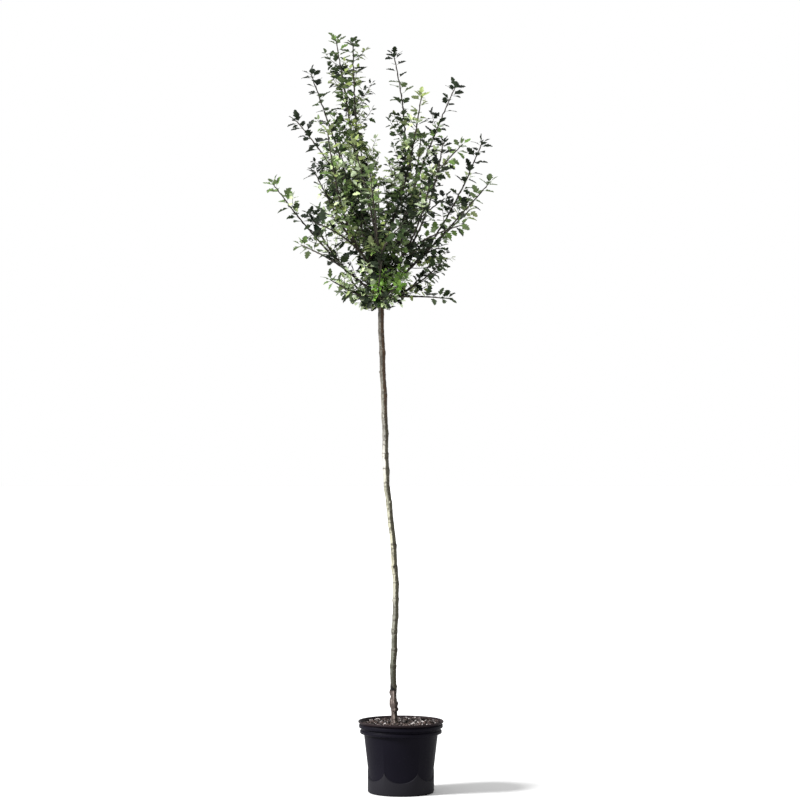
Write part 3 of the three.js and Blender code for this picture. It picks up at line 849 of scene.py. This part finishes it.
def make_pot(wall, foot):
    rings = [(MM * radius, MM * height) for radius, height in POT_PROFILE]
    pot = stack_of_rings("pot_shell", rings, POT_SEGMENTS)
    for vertex in pot.data.vertices:
        height, radius = vertex.co.z / MM, math.hypot(*vertex.co.xy) / MM
        if abs(height - POT_FOOT["valley"]) > 3 or radius < wall_radius(height) - 1:
            continue
        angle = math.atan2(vertex.co.y, vertex.co.x)
        if height > POT_FOOT["valley"] + 1:
            height = scallop(angle % math.tau) + POT_FOOT["slope"]
            radius = wall_radius(height)
        else:
            height = scallop(angle % math.tau)
        vertex.co = MM * Vector((radius * math.cos(angle), radius * math.sin(angle), height))
    for i in range(DRAINS["count"]):
        start()
        bpy.ops.mesh.primitive_cylinder_add(
            vertices=32,
            radius=MM * DRAINS["radius"],
            depth=MM * DRAINS["depth"],
            location=MM * DRAINS["circle"] * bearing(360 * (i + 0.5) / DRAINS["count"]),
        )
        drill = bpy.context.object
        apply_modifier(pot, "BOOLEAN", operation="DIFFERENCE", object=drill, solver="EXACT")
        bpy.data.objects.remove(drill)
    edges = {"limit_method": "ANGLE", "angle_limit": math.radians(POT_EDGES["angle"])}
    apply_modifier(pot, "BEVEL", width=MM * POT_EDGES["round"], segments=2, **edges)
    smooth(pot, 35)
    dress(pot, wall, foot)
    for face in pot.data.polygons:
        x, y, z = face.center / MM
        below = z < scallop(math.atan2(y, x) % math.tau) + POT_FOOT["slope"]
        if below and math.hypot(x, y) > wall_radius(z) - 1:
            face.material_index = 1
    return settle(pot, "pot", "pot")


def roughen(piece, name, size, height, **settings):
    """Raises and sinks a piece's surface in clouds of a size, both in millimetres."""
    texture = bpy.data.textures.new(name, "CLOUDS")
    texture.noise_scale = MM * size
    settings |= {"mid_level": 0.5, "texture_coords": "LOCAL", "texture": texture}
    apply_modifier(piece, "DISPLACE", strength=MM * height, **settings)


def make_soil(material):
    """The soil, from the pot's floor up to the rough ground under the mulch."""
    radii = range(SOIL_TOP["radius"], SOIL_TOP["ring"], -SOIL_TOP["ring"])
    ground = [(radius, SOIL_TOP["height"]) for radius in radii]
    rings = [(MM * radius, MM * height) for radius, height in SOIL_SIDES + ground]
    soil = stack_of_rings("soil_bed", rings, 120)
    top = soil.vertex_groups.new(name="top")
    upper = [v.index for v in soil.data.vertices if v.co.z > MM * (SOIL_TOP["height"] - 0.5)]
    top.add(upper, 1, "REPLACE")
    for name in ("mounds", "crumbs"):
        roughen(soil, name, *SOIL_TOP[name], direction="Z", vertex_group="top")
    soil.vertex_groups.clear()
    smooth(soil, 60)
    dress(soil, material)
    return settle(soil, "soil", "soil")


def chip_shapes(count):
    """Some torn flakes of bark: blocks split once, their corners pulled about, a metre long."""
    shapes = []
    for i in range(count):
        start()
        bpy.ops.mesh.primitive_cube_add(size=1)
        chip = bpy.context.object
        bpy.ops.object.mode_set(mode="EDIT")
        bpy.ops.mesh.select_all(action="SELECT")
        bpy.ops.mesh.subdivide(number_cuts=1, smoothness=0.1)
        bpy.ops.transform.vertex_random(offset=MULCH["torn"], seed=SEEDS["chips"] + i)
        wide, thick = [first + more * i for first, more in (MULCH["wide"], MULCH["thick"])]
        bpy.ops.transform.resize(value=(1, wide, thick))
        bpy.ops.object.mode_set(mode="OBJECT")
        face_outwards(chip)
        shapes.append(triangles_of(chip))
        bpy.data.objects.remove(chip)
    return shapes


def triangles_of(piece):
    """A modelled piece as arrays: its vertices, its triangles and their material numbers."""
    mesh = piece.data
    mesh.calc_loop_triangles()
    vertices = np.empty(3 * len(mesh.vertices))
    mesh.vertices.foreach_get("co", vertices)
    corners = np.array([tuple(triangle.vertices) for triangle in mesh.loop_triangles])
    kinds = np.array([triangle.material_index for triangle in mesh.loop_triangles])
    return vertices.reshape(-1, 3), corners, kinds


def copies(shape, frames):
    """A shape repeated: each frame is a 3 by 4 array of its scaled axes and its place."""
    vertices, corners, kinds = shape
    frames = np.asarray(frames)
    placed = np.einsum("nij,vj->nvi", frames[:, :, :3], vertices) + frames[:, None, :, 3]
    offsets = len(vertices) * np.arange(len(frames))[:, None, None]
    return placed.reshape(-1, 3), (corners[None] + offsets).reshape(-1, 3), np.tile(kinds, len(frames))


def stacked(groups):
    """Groups of arrays as one: each group's triangles are moved on past the vertices before it."""
    vertices, corners, kinds, used = [], [], [], 0
    for group_vertices, group_corners, group_kinds in groups:
        vertices.append(group_vertices)
        corners.append(group_corners + used)
        kinds.append(group_kinds)
        used += len(group_vertices)
    return np.concatenate(vertices), np.concatenate(corners), np.concatenate(kinds)


def scattered(shapes, frames):
    """Every shape repeated in its own frames, as one group of arrays."""
    return stacked([copies(shape, laid) for shape, laid in zip(shapes, frames) if laid])


def lying_frame(chance, size, place, lean):
    """A frame turned any way round and leant a little, for something lying on the ground."""
    spin = chance.uniform(0, math.tau)
    tips = [chance.gauss(0, lean) for _ in range(2)]
    up = unit(np.array([*tips, 1.0]))
    along = unit(np.cross(up, (math.sin(spin), -math.cos(spin), 0.0)))
    return np.column_stack([size * along, size * np.cross(up, along), size * up, place])


def make_mulch(materials):
    """Bark chips in several tones, lying over one another on the soil."""
    chance = random.Random(SEEDS["mulch"])
    shapes = chip_shapes(MULCH["shapes"])
    frames = {tone: [[] for _ in shapes] for tone in materials}
    tones = list(materials)
    for i in range(MULCH["count"]):
        size = MM * chance.triangular(*MULCH["sizes"])
        reach = (MM * MULCH["radius"] - size / 2) * math.sqrt(chance.random())
        way = bearing(GOLDEN_TURN * i)
        heap = np.dot(MULCH["mound"], way[:2]) - MULCH["sunk"] * (reach / (MM * MULCH["edge"])) ** 6
        rise = MM * (MULCH["ground"] + MULCH["layer"] * chance.random() + heap)
        laid = lying_frame(chance, size, reach * way + upwards(rise), MULCH["lean"])
        tone = chance.choices(tones, MULCH["shares"])[0]
        frames[tone][chance.randrange(len(shapes))].append(laid)
    for tone, material in materials.items():
        vertices, corners, _ = scattered(shapes, frames[tone])
        piece = mesh_of(f"mulch_{tone}", vertices, corners, [material])
        smooth(piece, 28)
        settle(piece, "soil", "soil")


# ---- Trunk and boughs ---------------------------------------------------------------------------


def trunk_nodes():
    """The nodes up the stem, each a height, a heading and how far it swells."""
    chance = random.Random(SEEDS["nodes"])
    nodes, height = [], NODES["first"]
    while height < TRUNK_HEIGHT - NODES["last"]:
        nodes.append((height, GOLDEN_TURN * len(nodes), chance.uniform(*NODES["swell"])))
        height += chance.uniform(*NODES["spacing"])
    return nodes


TRUNK_NODES = trunk_nodes()


def trunk_radius(height):
    """The stem's radius at a height above the ground, both in millimetres."""
    foot, fork, flare, flare_height = TRUNK_RADII.values()
    radius = foot + (fork - foot) * height / TRUNK_HEIGHT
    radius += flare * math.exp(-max(height, 0) / flare_height)
    radius += GRAFT["swell"] * math.exp(-(((height - GRAFT["height"]) / GRAFT["span"]) ** 2))
    for place, _, swell in TRUNK_NODES:
        fade = NODES["fades"][0 if height > place else 1]
        radius += swell * math.exp(-(((height - place) / fade) ** 2))
    return radius


def crooked_stem():
    """The stem's own path: it turns a little at every node."""
    places = [0, *[height for height, _, _ in TRUNK_NODES], TRUNK_HEIGHT]
    turns = [0, *[CROOKS["turn"] * (-1) ** i for i in range(len(TRUNK_NODES))], 0]
    points = trunk_path.resampled(MM * CROOKS["step"])
    heights = np.linspace(0, TRUNK_HEIGHT, len(points))
    aside = MM * np.interp(heights, places, turns)
    behind = CROOKS["behind"] * np.roll(aside, CROOKS["later"])
    return Path(points + np.column_stack([aside, behind, 0 * aside]))


def on_path(piece, path):
    """Lays a piece that stands on the origin along a path, root first."""
    curve = bpy.data.curves.new("lay", "CURVE")
    curve.dimensions = "3D"
    spline = curve.splines.new("POLY")
    spline.points.add(len(path.points) - 1)
    for point, place in zip(spline.points, path.points):
        point.co = (*place, 1)
    lay = bpy.data.objects.new("lay", curve)
    bpy.context.scene.collection.objects.link(lay)
    apply_modifier(piece, "CURVE", object=lay, deform_axis="POS_Z")
    bpy.data.objects.remove(lay)
    return piece


def knob(place, half_sizes):
    """A rounded swelling of some millimetres, to be blended into the wood."""
    start()
    bpy.ops.mesh.primitive_ico_sphere_add(subdivisions=3, radius=1, location=place)
    piece = bpy.context.object
    bpy.ops.transform.resize(value=[MM * half for half in half_sizes], center_override=place)
    bpy.ops.object.transform_apply(location=True, rotation=True, scale=True)
    return piece


def make_limb(name, path, radius_at, spacing, sides):
    """A tapering limb along a path, a ring at every spacing, its radii given by the length."""
    count = max(3, round(path.length / (MM * spacing)))
    lengths = [path.length * i / count for i in range(count + 1)]
    rings = [(radius_at(length), length) for length in lengths]
    return on_path(stack_of_rings(name, rings, sides), path)


def mark_rings(wood, stem):
    """Marks the rings just above the stem's nodes, for the bark's colour."""
    heights = [height + NODES["ring_above"] for height, _, _ in TRUNK_NODES]
    places = np.array([stem.at(height / TRUNK_HEIGHT) for height in heights])
    marks = []
    for vertex in wood.data.vertices:
        offsets = np.array(vertex.co) - places
        near = offsets[np.argmin(np.abs(offsets[:, 2]))]
        on_stem = math.hypot(near[0], near[1]) < MM * NODES["near"]
        marks.append(math.exp(-((near[2] / (MM * NODES["ring"])) ** 2)) if on_stem else 0.0)
    wood.data.attributes.new("ring", "FLOAT", "POINT").data.foreach_set("value", marks)


def mark_hollows(wood):
    """Marks the creases: places that lie below the smoothed skin, where the bark is darkened with
    painted shade and dirt.
    """
    mesh = wood.data
    places, normals = np.empty(3 * len(mesh.vertices)), np.empty(3 * len(mesh.vertices))
    mesh.vertices.foreach_get("co", places)
    mesh.vertex_normals.foreach_get("vector", normals)
    edges = np.empty(2 * len(mesh.edges), int)
    mesh.edges.foreach_get("vertices", edges)
    places, normals, edges = places.reshape(-1, 3), normals.reshape(-1, 3), edges.reshape(-1, 2)
    ends = np.concatenate([edges, edges[:, ::-1]])
    counts = np.bincount(ends[:, 0], minlength=len(places))
    skin = places
    for _ in range(CREASES["spread"]):
        sums = [np.bincount(ends[:, 0], skin[ends[:, 1], k], len(places)) for k in range(3)]
        skin = np.column_stack([total / counts for total in sums])
    depths = np.einsum("vi,vi->v", skin - places, normals)
    marks = np.clip(depths / (MM * CREASES["depth"]) + CREASES["level"], 0, 1)
    mesh.attributes.new("hollow", "FLOAT", "POINT").data.foreach_set("value", marks)


def make_wood(material, paths):
    """The stem and its boughs as one skin, with the graft, the nodes and old shoots' scars."""
    stem = crooked_stem()
    trunk = make_limb("wood", stem, lambda length: MM * trunk_radius(length / MM), *STEM_RINGS)
    parts = [trunk]
    for name, path in paths.items():
        seat = BOUGH["leader_seat" if name == "leader" else "seat"]
        radius_at = lambda length: MM * (seat + (BOUGH["tip"] - seat) * length / path.length)
        parts.append(make_limb(f"limb_{name}", path, radius_at, *BOUGH_RINGS))
        parts.append(knob(path.at(BOUGH["collar_at"]), BOUGH["collar"]))
    scars = []
    for height, heading, swell in TRUNK_NODES:
        half = NODES["scar"] + swell
        out = trunk_radius(height) - NODES["sunk"]
        scars.append((height, heading, out, (half, half, NODES["long"] * half)))
    for height, heading, out, half_sizes in scars + GRAFT_KNOBS:
        place = stem.at(height / TRUNK_HEIGHT) + MM * out * bearing(heading)
        parts.append(knob(place, half_sizes))
    wood = join("wood", parts)
    apply_modifier(wood, "REMESH", mode="VOXEL", voxel_size=MM * SKIN["facet"])
    apply_modifier(wood, "SMOOTH", factor=0.5, iterations=SKIN["smoothings"])
    for name in ("lumps", "ridges"):
        roughen(wood, name, *SKIN[name])
    mark_rings(wood, stem)
    mark_hollows(wood)
    smooth(wood, 60)
    dress(wood, material)
    nodes = [f"bough_{name}" for name in paths]
    return settle(wood, "bark", "trunk", *nodes)


# ---- Whips and twigs ----------------------------------------------------------------------------


class Tubes:
    """Thin round shoots with closed ends, gathered as arrays for one mesh."""

    def __init__(self):
        self.groups = []

    def add(self, points, radii, sides):
        points = np.asarray(points)
        tangents = np.gradient(points, axis=0)
        tangents /= np.linalg.norm(tangents, axis=1)[:, None]
        across = np.cross(tangents[0], ASKEW)
        rings = []
        for point, tangent, radius in zip(points, tangents, radii):
            across = unit(across - tangent * np.dot(across, tangent))
            beside = np.cross(tangent, across)
            turns = np.linspace(0, math.tau, sides, endpoint=False)[:, None]
            rings.append(point + radius * (np.cos(turns) * across + np.sin(turns) * beside))
        tip = points[-1] + tangents[-1] * radii[-1]
        vertices = np.concatenate([*rings, [points[0]], [tip]])
        column = np.arange(sides)
        following = (column + 1) % sides
        corners = []
        for ring in range(len(points) - 1):
            low, high = ring * sides, (ring + 1) * sides
            corners.append(np.column_stack([low + column, low + following, high + following]))
            corners.append(np.column_stack([low + column, high + following, high + column]))
        root = len(points) * sides
        last = root - sides
        corners.append(np.column_stack([following, column, np.full(sides, root)]))
        corners.append(np.column_stack([last + column, last + following, np.full(sides, root + 1)]))
        corners = np.concatenate(corners)
        self.groups.append((vertices, corners, np.zeros(len(corners))))


class Crown:
    """All that grows: shoots, and leaves with the spray that each belongs to."""

    def __init__(self, limbs):
        self.whips = Tubes()
        self.twigs = Tubes()
        self.leaves = []
        self.sprays = []
        samples = [
            (point, name)
            for name, paths in limbs.items()
            for path in paths
            for point in path.resampled(MM * TESTS)
        ]
        self.owners = [name for _, name in samples]
        self.places = KDTree(len(samples))
        for i, (point, _) in enumerate(samples):
            self.places.insert(point, i)
        self.places.balance()
        self.floor = on_trunk(0)[2] + MM * LOWEST_LEAF

    def has_room(self, name, points):
        """Whether points are above the crown's foot, inside the box and in a mass's own space."""
        low, high = cad_box
        for point in points:
            past = np.linalg.norm(point[:2] - on_trunk(0)[:2]) - MM * FOOT_SLOPE["from"]
            if point[2] < self.floor + FOOT_SLOPE["slope"] * max(past, 0):
                return False
            if any(not low[k] <= point[k] <= high[k] for k in range(3)):
                return False
            if name and self.owners[self.places.find(point)[1]] != name:
                return False
        return True

    def spray(self, place, on_whip=False):
        """Starts a new spray of leaves round a place, and returns its number."""
        self.sprays.append((place, on_whip))
        return len(self.sprays) - 1

    def leaf(self, name, root, tangent, turn, size, spray, chance, angle):
        """Adds a leaf whose stalk leaves a shoot at a turn, or at the next turn that has room."""
        lean = [chance.gauss(0, LEAF["lean"]) for _ in range(2)]
        for spin in turns_from(turn):
            along = turned_about(tangent, spin, angle, LEAF["lift"])
            up = np.array([*lean, 1.0])
            face = up - along * np.dot(up, along)
            if np.linalg.norm(face) < LEAF["steep"]:
                continue
            face = unit(face)
            across = np.cross(along, face)
            middle = root + along * size * (LEAF["petiole"] + 0.5)
            tip = root + along * size * (LEAF["petiole"] + 1)
            half = LEAF["half_width"] * size * across
            if self.has_room(name, [tip, middle + half, middle - half]):
                placed = np.column_stack([size * across, size * along, size * face, root])
                self.leaves.append((placed, chance.randrange(LEAF["shapes"]), spray))
                return

    def tuft(self, name, path, chance):
        """A short spur with a fan of leaves at its end."""
        leaves = chance.randint(*SPURS["leaves"])
        points = path.resampled(MM * SPURS["joint"])
        radii = np.linspace(MM * SPURS["radius"], MM * SPURS["tip"], len(points))
        self.twigs.add(points, radii, SPURS["sides"])
        spray = self.spray(points[-1])
        turn = 360 * chance.random()
        for _ in range(leaves):
            size = MM * chance.uniform(TWIG_LEAVES["least"], TWIG_LEAVES["most"])
            angle = chance.uniform(*SPURS["spread"])
            turn += GOLDEN_TURN
            self.leaf(name, points[-1], path.heading(1), turn, size, spray, chance, angle)


def turns_from(turn):
    """A turn, and the next two that a shoot or a leaf tries where it has no room."""
    return [turn + i * GOLDEN_TURN for i in range(3)]


def grows(place, chance):
    """Whether a spur or twig grows at a place: more often in the full part of the crown."""
    rise = (place[2] - on_trunk(0)[2]) / MM
    middle = on_trunk(0)[:2] + MM * np.array([np.interp(rise, FULL_RISES, FULL_ASIDES), 0])
    reach = np.linalg.norm(place[:2] - middle) / MM
    full = reach < np.interp(rise, FULL_RISES, FULL_REACHES)
    return chance.random() < (FULL if full else THIN)


def noded(points, sideways, chance):
    """A shoot's points moved a little to and fro, as it turns at every node."""
    moved = np.array(points)
    swing = [chance.uniform(-1, 1) for _ in range(3)]
    for i in range(1, len(moved) - 1):
        swing = [chance.uniform(-1, 1) - SWING["back"] * last for last in swing]
        moved[i] += sideways * np.array(swing) * SWING["share"]
    return moved


def along_shoot(points, share):
    """The point at a share of a shoot, and the way that it heads there."""
    place = share * (len(points) - 1)
    step = min(int(place), len(points) - 2)
    reach = points[step + 1] - points[step]
    return points[step] + (place - step) * reach, unit(reach)


def leaf_at(rule, past_tip, chance):
    """A leaf's size and angle: towards the shoot's tip it is smaller and folded up along it."""
    size = min(rule["most"], rule["least"] + LEAF["growth"] * past_tip)
    shut, opens, most = rule["opens"]
    angle = LEAF["angle"] * min(most, shut + past_tip / opens)
    return MM * size * chance.uniform(*rule["varies"]), angle


def next_leaf(rule, past_tip, step, chance):
    """How far down a shoot its next leaf stands: close in the tuft at the tip, further below."""
    return rule["tuft_step"] if past_tip < rule["tuft"] else step * chance.uniform(*STEP_VARIES)


def grow_whip(crown, name, whip, chance):
    """A whip, its side twigs, the spurs on its older wood and the leaves on its young end."""
    count = max(4, round(whip.length / (MM * WHIP["joint"])))
    points = noded(whip.resampled(whip.length / count), MM * WHIP["swing"], chance)
    shares = np.linspace(0, 1, len(points))
    radii = MM * (WHIP["tip"] + (WHIP["radius"] - WHIP["tip"]) * (1 - shares) ** WHIP["taper"])
    radii[::2] *= WHIP["knot"]
    crown.whips.add(points, radii, WHIP["sides"])
    length = whip.length / MM
    habit = {**TWIGS, "leaf_step": WHIP_LEAVES["step"], **BUSHY.get(name, {})}
    for path, share in side_twigs(crown, name, points, length, habit, chance):
        radius = MM * TWIG["radius"] * (1 - TWIGS["slighter"] * share)
        grow_twig(crown, name, path, radius, chance)
    grow_whip_leaves(crown, name, points, length, habit["leaf_step"], chance)


def side_twigs(crown, name, points, length, habit, chance):
    """The paths of a whip's side twigs that have room, each with its share of the whip."""
    twigs = []
    turn, reach = 360 * chance.random(), TWIGS["from"] * length
    while reach < habit["to"] * length:
        share = reach / length
        turn += GOLDEN_TURN
        reach += habit["step"] * chance.uniform(*STEP_VARIES)
        root, tangent = along_shoot(points, share)
        span = MM * TWIGS["length"] * chance.uniform(*TWIGS["varies"]) * (1 - habit["shorter"] * share)
        for spin in turns_from(turn):
            way = turned_about(tangent, spin, TWIGS["angle"], 0)
            end = root + span * way + upwards(span * TWIGS["lift"])
            path = sweep(root, way, end, TWIG["bend"])
            if name not in BUSHY and not grows(path.at(0.5), chance):
                break
            if crown.has_room(name, path.resampled(MM * TESTS)[1:]):
                twigs.append((path, share))
                break
    return twigs


def grow_whip_leaves(crown, name, points, length, leaf_step, chance):
    """A whip's leaves from its tip down: single on the young end, in tufts on the older wood."""
    rule = WHIP_LEAVES
    spray = crown.spray(points[-1], on_whip=True)
    turn, reach, nodes = 360 * chance.random(), length, 0
    while reach > SPURS["from"] * length:
        share = reach / length
        root, tangent = along_shoot(points, share)
        turn += GOLDEN_TURN
        past_tip = length - reach
        young = share > SPURS["to"]
        if young or not grows(root, chance):
            size, angle = leaf_at(rule, past_tip, chance)
            if young or chance.random() < rule["bare"]:
                crown.leaf(name, root, tangent, turn, size, spray, chance, angle)
                if past_tip > rule["tuft"] and chance.random() < rule["paired"]:
                    beside, second = turn + rule["pair_turn"], rule["pair_size"] * size
                    crown.leaf(name, root, tangent, beside, second, spray, chance, angle)
            reach -= next_leaf(rule, past_tip, leaf_step, chance)
            nodes += past_tip > rule["tuft"]
            if nodes == rule["spray"]:
                spray, nodes = crown.spray(root, on_whip=True), 0
            continue
        way = turned_about(tangent, turn, SPURS["angle"], SPURS["lift"])
        end = root + way * MM * chance.uniform(*SPURS["length"])
        if grows(end, chance) and crown.has_room(name, [end]):
            crown.tuft(name, sweep(root, way, end, SPURS["bend"]), chance)
        reach -= SPURS["step"] * chance.uniform(*STEP_VARIES)


def grow_twig(crown, name, path, radius, chance):
    """A side twig with its leaves, from a rosette at its tip down to its foot."""
    count = max(3, round(path.length / (MM * TWIG["joint"])))
    points = noded(path.resampled(path.length / count), MM * TWIG["swing"], chance)
    radii = np.linspace(radius, MM * TWIG["tip"], len(points))
    radii[::2] *= TWIG["knot"]
    crown.twigs.add(points, radii, TWIG["sides"])
    spray = crown.spray(points[-1])
    turn, length = 360 * chance.random(), path.length / MM
    reach = length
    while reach > TWIG["bare_foot"] * length:
        root, tangent = along_shoot(points, reach / length)
        past_tip = length - reach
        size, angle = leaf_at(TWIG_LEAVES, past_tip, chance)
        turn += GOLDEN_TURN
        crown.leaf(name, root, tangent, turn, size, spray, chance, angle)
        reach -= next_leaf(TWIG_LEAVES, past_tip, TWIG_LEAVES["step"], chance)


def grow_inner_twigs(crown, path, reaches, rule, chance):
    """Leafy twigs at places along a bough or the stem, which fill the middle of the crown."""
    turn = 360 * chance.random()
    for reach in reaches:
        share = reach / path.length
        turn += GOLDEN_TURN
        way = turned_about(path.heading(share), turn, INNER_TWIGS["angle"], INNER_TWIGS["lift"])
        span = MM * chance.uniform(rule["least"], rule["most"])
        end = path.at(share) + span * way + upwards(INNER_TWIGS["rise"] * span)
        twig = sweep(path.at(share), way, end, TWIG["bend"])
        if crown.has_room(None, [end]):
            grow_twig(crown, None, twig, MM * TWIG["radius"], chance)


def grow_crown(boughs, whips):
    """All the crown's growth: each mass's whips, then the twigs on the boughs and the stem."""
    limbs = {name: list(paths) for name, paths in whips.items()}
    for name, bough in boughs.items():
        limbs[name].append(bough)
    crown = Crown(limbs)
    for number, (name, paths) in enumerate(whips.items()):
        chance = random.Random(SEED + number)
        for path in paths:
            grow_whip(crown, name, path, chance)
    chance = random.Random(SEED - 1)
    for bough in boughs.values():
        first = BOUGH_TWIGS["from"] * bough.length
        reaches = np.arange(first, bough.length, MM * BOUGH_TWIGS["step"])
        grow_inner_twigs(crown, bough, reaches, BOUGH_TWIGS, chance)
    heights = np.arange(STEM_TWIGS["from"], STEM_TWIGS["to"], STEM_TWIGS["step"])
    reaches = (CROWN_FOOT + heights) / TRUNK_HEIGHT * trunk_path.length
    grow_inner_twigs(crown, trunk_path, reaches, STEM_TWIGS, chance)
    return crown


def make_shoots(crown):
    """Joins the whips into one piece, and the twigs and spurs into another."""
    for kind, tubes in (("whip", crown.whips), ("twig", crown.twigs)):
        vertices, corners, _ = stacked(tubes.groups)
        bark = shoot_finish(f"{kind}_bark", *SHOOT_TONES[kind])
        piece = mesh_of(f"{kind}s", vertices, corners, [bark])
        smooth(piece, 60)
        settle(piece, "bough", *FOLIAGE)


# ---- Leaves -------------------------------------------------------------------------------------


def leaf_shape(number):
    """One leaf, its blade a unit long: lobed, folded along its midrib, with a drooping tip."""
    chance = random.Random(SEEDS["leaf_shapes"] + number)
    fold, droop = [chance.uniform(*LEAF[bend]) for bend in ("fold", "droop")]
    roll = chance.gauss(0, LEAF["roll"])
    rows = len(LEAF_ROWS) - 1
    start()
    bpy.ops.mesh.primitive_grid_add(x_subdivisions=2, y_subdivisions=rows, size=2)
    blade = bpy.context.object
    for vertex in blade.data.vertices:
        side = round(vertex.co.x)
        half, height, midrib = LEAF_ROWS[round((vertex.co.y + 1) / 2 * rows)]
        reach = height if side else midrib
        half *= 1 + side * 0.5 * roll
        ripple = LEAF["ripple"] * math.sin(9 * reach + 2 * side + number)
        vertex.co = (
            side * half + roll * reach * (1 - reach),
            LEAF["petiole"] + reach,
            fold * half * abs(side) - droop * reach**2 + (ripple + roll * half) * side,
        )
    bpy.ops.object.mode_set(mode="EDIT")
    bpy.ops.mesh.select_all(action="SELECT")
    bpy.ops.mesh.duplicate()
    bpy.ops.mesh.flip_normals()
    bpy.ops.object.mode_set(mode="OBJECT")
    upper = len(blade.data.polygons) // 2
    for face in blade.data.polygons[upper:]:
        face.material_index = 1
    middle = [v for v in blade.data.vertices if v.select and v.index % 3 == 1]
    for vertex in middle[1:-1]:
        vertex.co.z -= LEAF["thick"]
    bpy.ops.object.mode_set(mode="EDIT")
    bpy.ops.mesh.select_all(action="SELECT")
    bpy.ops.mesh.remove_doubles(threshold=1e-4)
    bpy.ops.object.mode_set(mode="OBJECT")
    shape = triangles_of(blade)
    bpy.data.objects.remove(blade)
    stalk = Tubes()
    stalk.add(STALK["points"], STALK["radii"], 3)
    (vertices, corners, kinds), = stalk.groups
    return stacked([shape, (vertices, corners, kinds + 1)])


def tint_of(place, on_whip, chance):
    """A spray's tint: the fresh shoots stand together low in front, and the rest is dealt out, with
    more dark tints for the whips' own sprays and, as painted shade, for those in the crown's heart.
    """
    fresh = crown_point(FRESH["heading"], FRESH["reach"], FRESH["rise"])
    if np.linalg.norm(place - fresh) < MM * FRESH["radius"]:
        return "fresh" if chance.random() < FRESH["share"] else "green"
    heart = crown_point(HEART["heading"], HEART["reach"], HEART["rise"])
    # sprays in the heart take the darker shares: painted shade
    darker = on_whip or np.linalg.norm(place - heart) < MM * HEART["radius"]
    return chance.choices(list(TINTS), [tint[3 if darker else 2] for tint in TINTS.values()])[0]


def make_leaves(crown):
    """Joins the leaves, one piece for every tint, with an upper and a lower finish."""
    chance = random.Random(SEEDS["tints"])
    shapes = [leaf_shape(number) for number in range(LEAF["shapes"])]
    tints = [tint_of(place, on_whip, chance) for place, on_whip in crown.sprays]
    for tint, (upper, lower, *_) in TINTS.items():
        frames = [[] for _ in shapes]
        for placed, shape, spray in crown.leaves:
            if tints[spray] == tint:
                frames[shape].append(placed)
        finishes = [
            leaf_finish(f"leaf_{tint}_upper", upper, 0.3),
            leaf_finish(f"leaf_{tint}_lower", lower, 0.6),
        ]
        vertices, corners, kinds = scattered(shapes, frames)
        piece = mesh_of(f"leaves_{tint}", vertices, corners, finishes, kinds)
        smooth(piece, 50)
        settle(piece, "foliage", *FOLIAGE)


# ---- Studio -------------------------------------------------------------------------------------


def make_studio():
    """A level camera, a pale floor, a white surround and one soft light from the upper left."""
    scene = bpy.context.scene
    camera = bpy.data.objects.new("camera", bpy.data.cameras.new("camera"))
    camera.location = CAMERA["place"]
    camera.rotation_euler = (math.radians(90), 0, 0)
    camera.data.sensor_width = CAMERA["sensor"]
    camera.data.lens = CAMERA["sensor"] * -CAMERA["place"][1] / CAMERA["width"]
    scene.collection.objects.link(camera)
    scene.camera = camera
    world = bpy.data.worlds.new("surround")
    world.use_nodes = True
    world.node_tree.nodes["Background"].inputs["Color"].default_value = (1, 1, 1, 1)
    world.node_tree.nodes["Background"].inputs["Strength"].default_value = LIGHT["surround"]
    scene.world = world
    lamp = bpy.data.objects.new("lamp", bpy.data.lights.new("lamp", "SUN"))
    lamp.rotation_euler = Vector(LIGHT["from"]).to_track_quat("Z", "Y").to_euler()
    lamp.data.energy = LIGHT["strength"]
    lamp.data.angle = math.radians(LIGHT["softness"])
    scene.collection.objects.link(lamp)
    scene.view_settings.view_transform = "Standard"
    start()
    bpy.ops.mesh.primitive_plane_add(size=FLOOR["size"], location=(0, 0, FLOOR["height"]))
    floor = bpy.context.object
    floor.name = "floor"
    bpy.ops.object.transform_apply(location=True)
    dress(floor, floor_finish())


# ---- Assembly -----------------------------------------------------------------------------------


def lay_out():
    """The boughs' paths, and each mass's whips: its stem, then those that fork from it."""
    boughs, whips = {}, {}
    for name, (seat, heading, reach, rise, whip_tips) in MASSES.items():
        if name == "leader":
            root, way = trunk_path.at(1), upwards(1)
        else:
            root, way = on_trunk(seat), outward(heading, BOUGH["climb"] if reach else LOW_CLIMB)
        if reach:
            bough = sweep(root, way, crown_point(heading, reach, rise), BOUGH["bend"])
            root, way = bough.at(1), bough.heading(1)
            boughs[name] = bough
        leaf_tips = [crown_point(*whip_tip) for whip_tip in whip_tips]
        ends = [leaf_tip - MM * PAST_WHIP * unit(leaf_tip - root) for leaf_tip in leaf_tips]
        stem = sweep(root, way, ends[0], WHIP["bend"])
        whips[name] = [stem]
        for i, end in enumerate(ends[1:]):
            share = WHIP["fork_from"] * (i + 1)
            whips[name].append(sweep(stem.at(share), stem.heading(share), end, WHIP["fork_bend"]))
    return boughs, whips


make_studio()
make_pot(*[pot_finish(name, *tones) for name, tones in POT_TONES.items()])
make_soil(soil_finish())
make_mulch({tone: chip_finish(f"bark_chips_{tone}", colour) for tone, colour in MULCH["tones"].items()})
boughs, whips = lay_out()
make_wood(bark_finish(), boughs)
crown = grow_crown(boughs, whips)
make_shoots(crown)
make_leaves(crown)
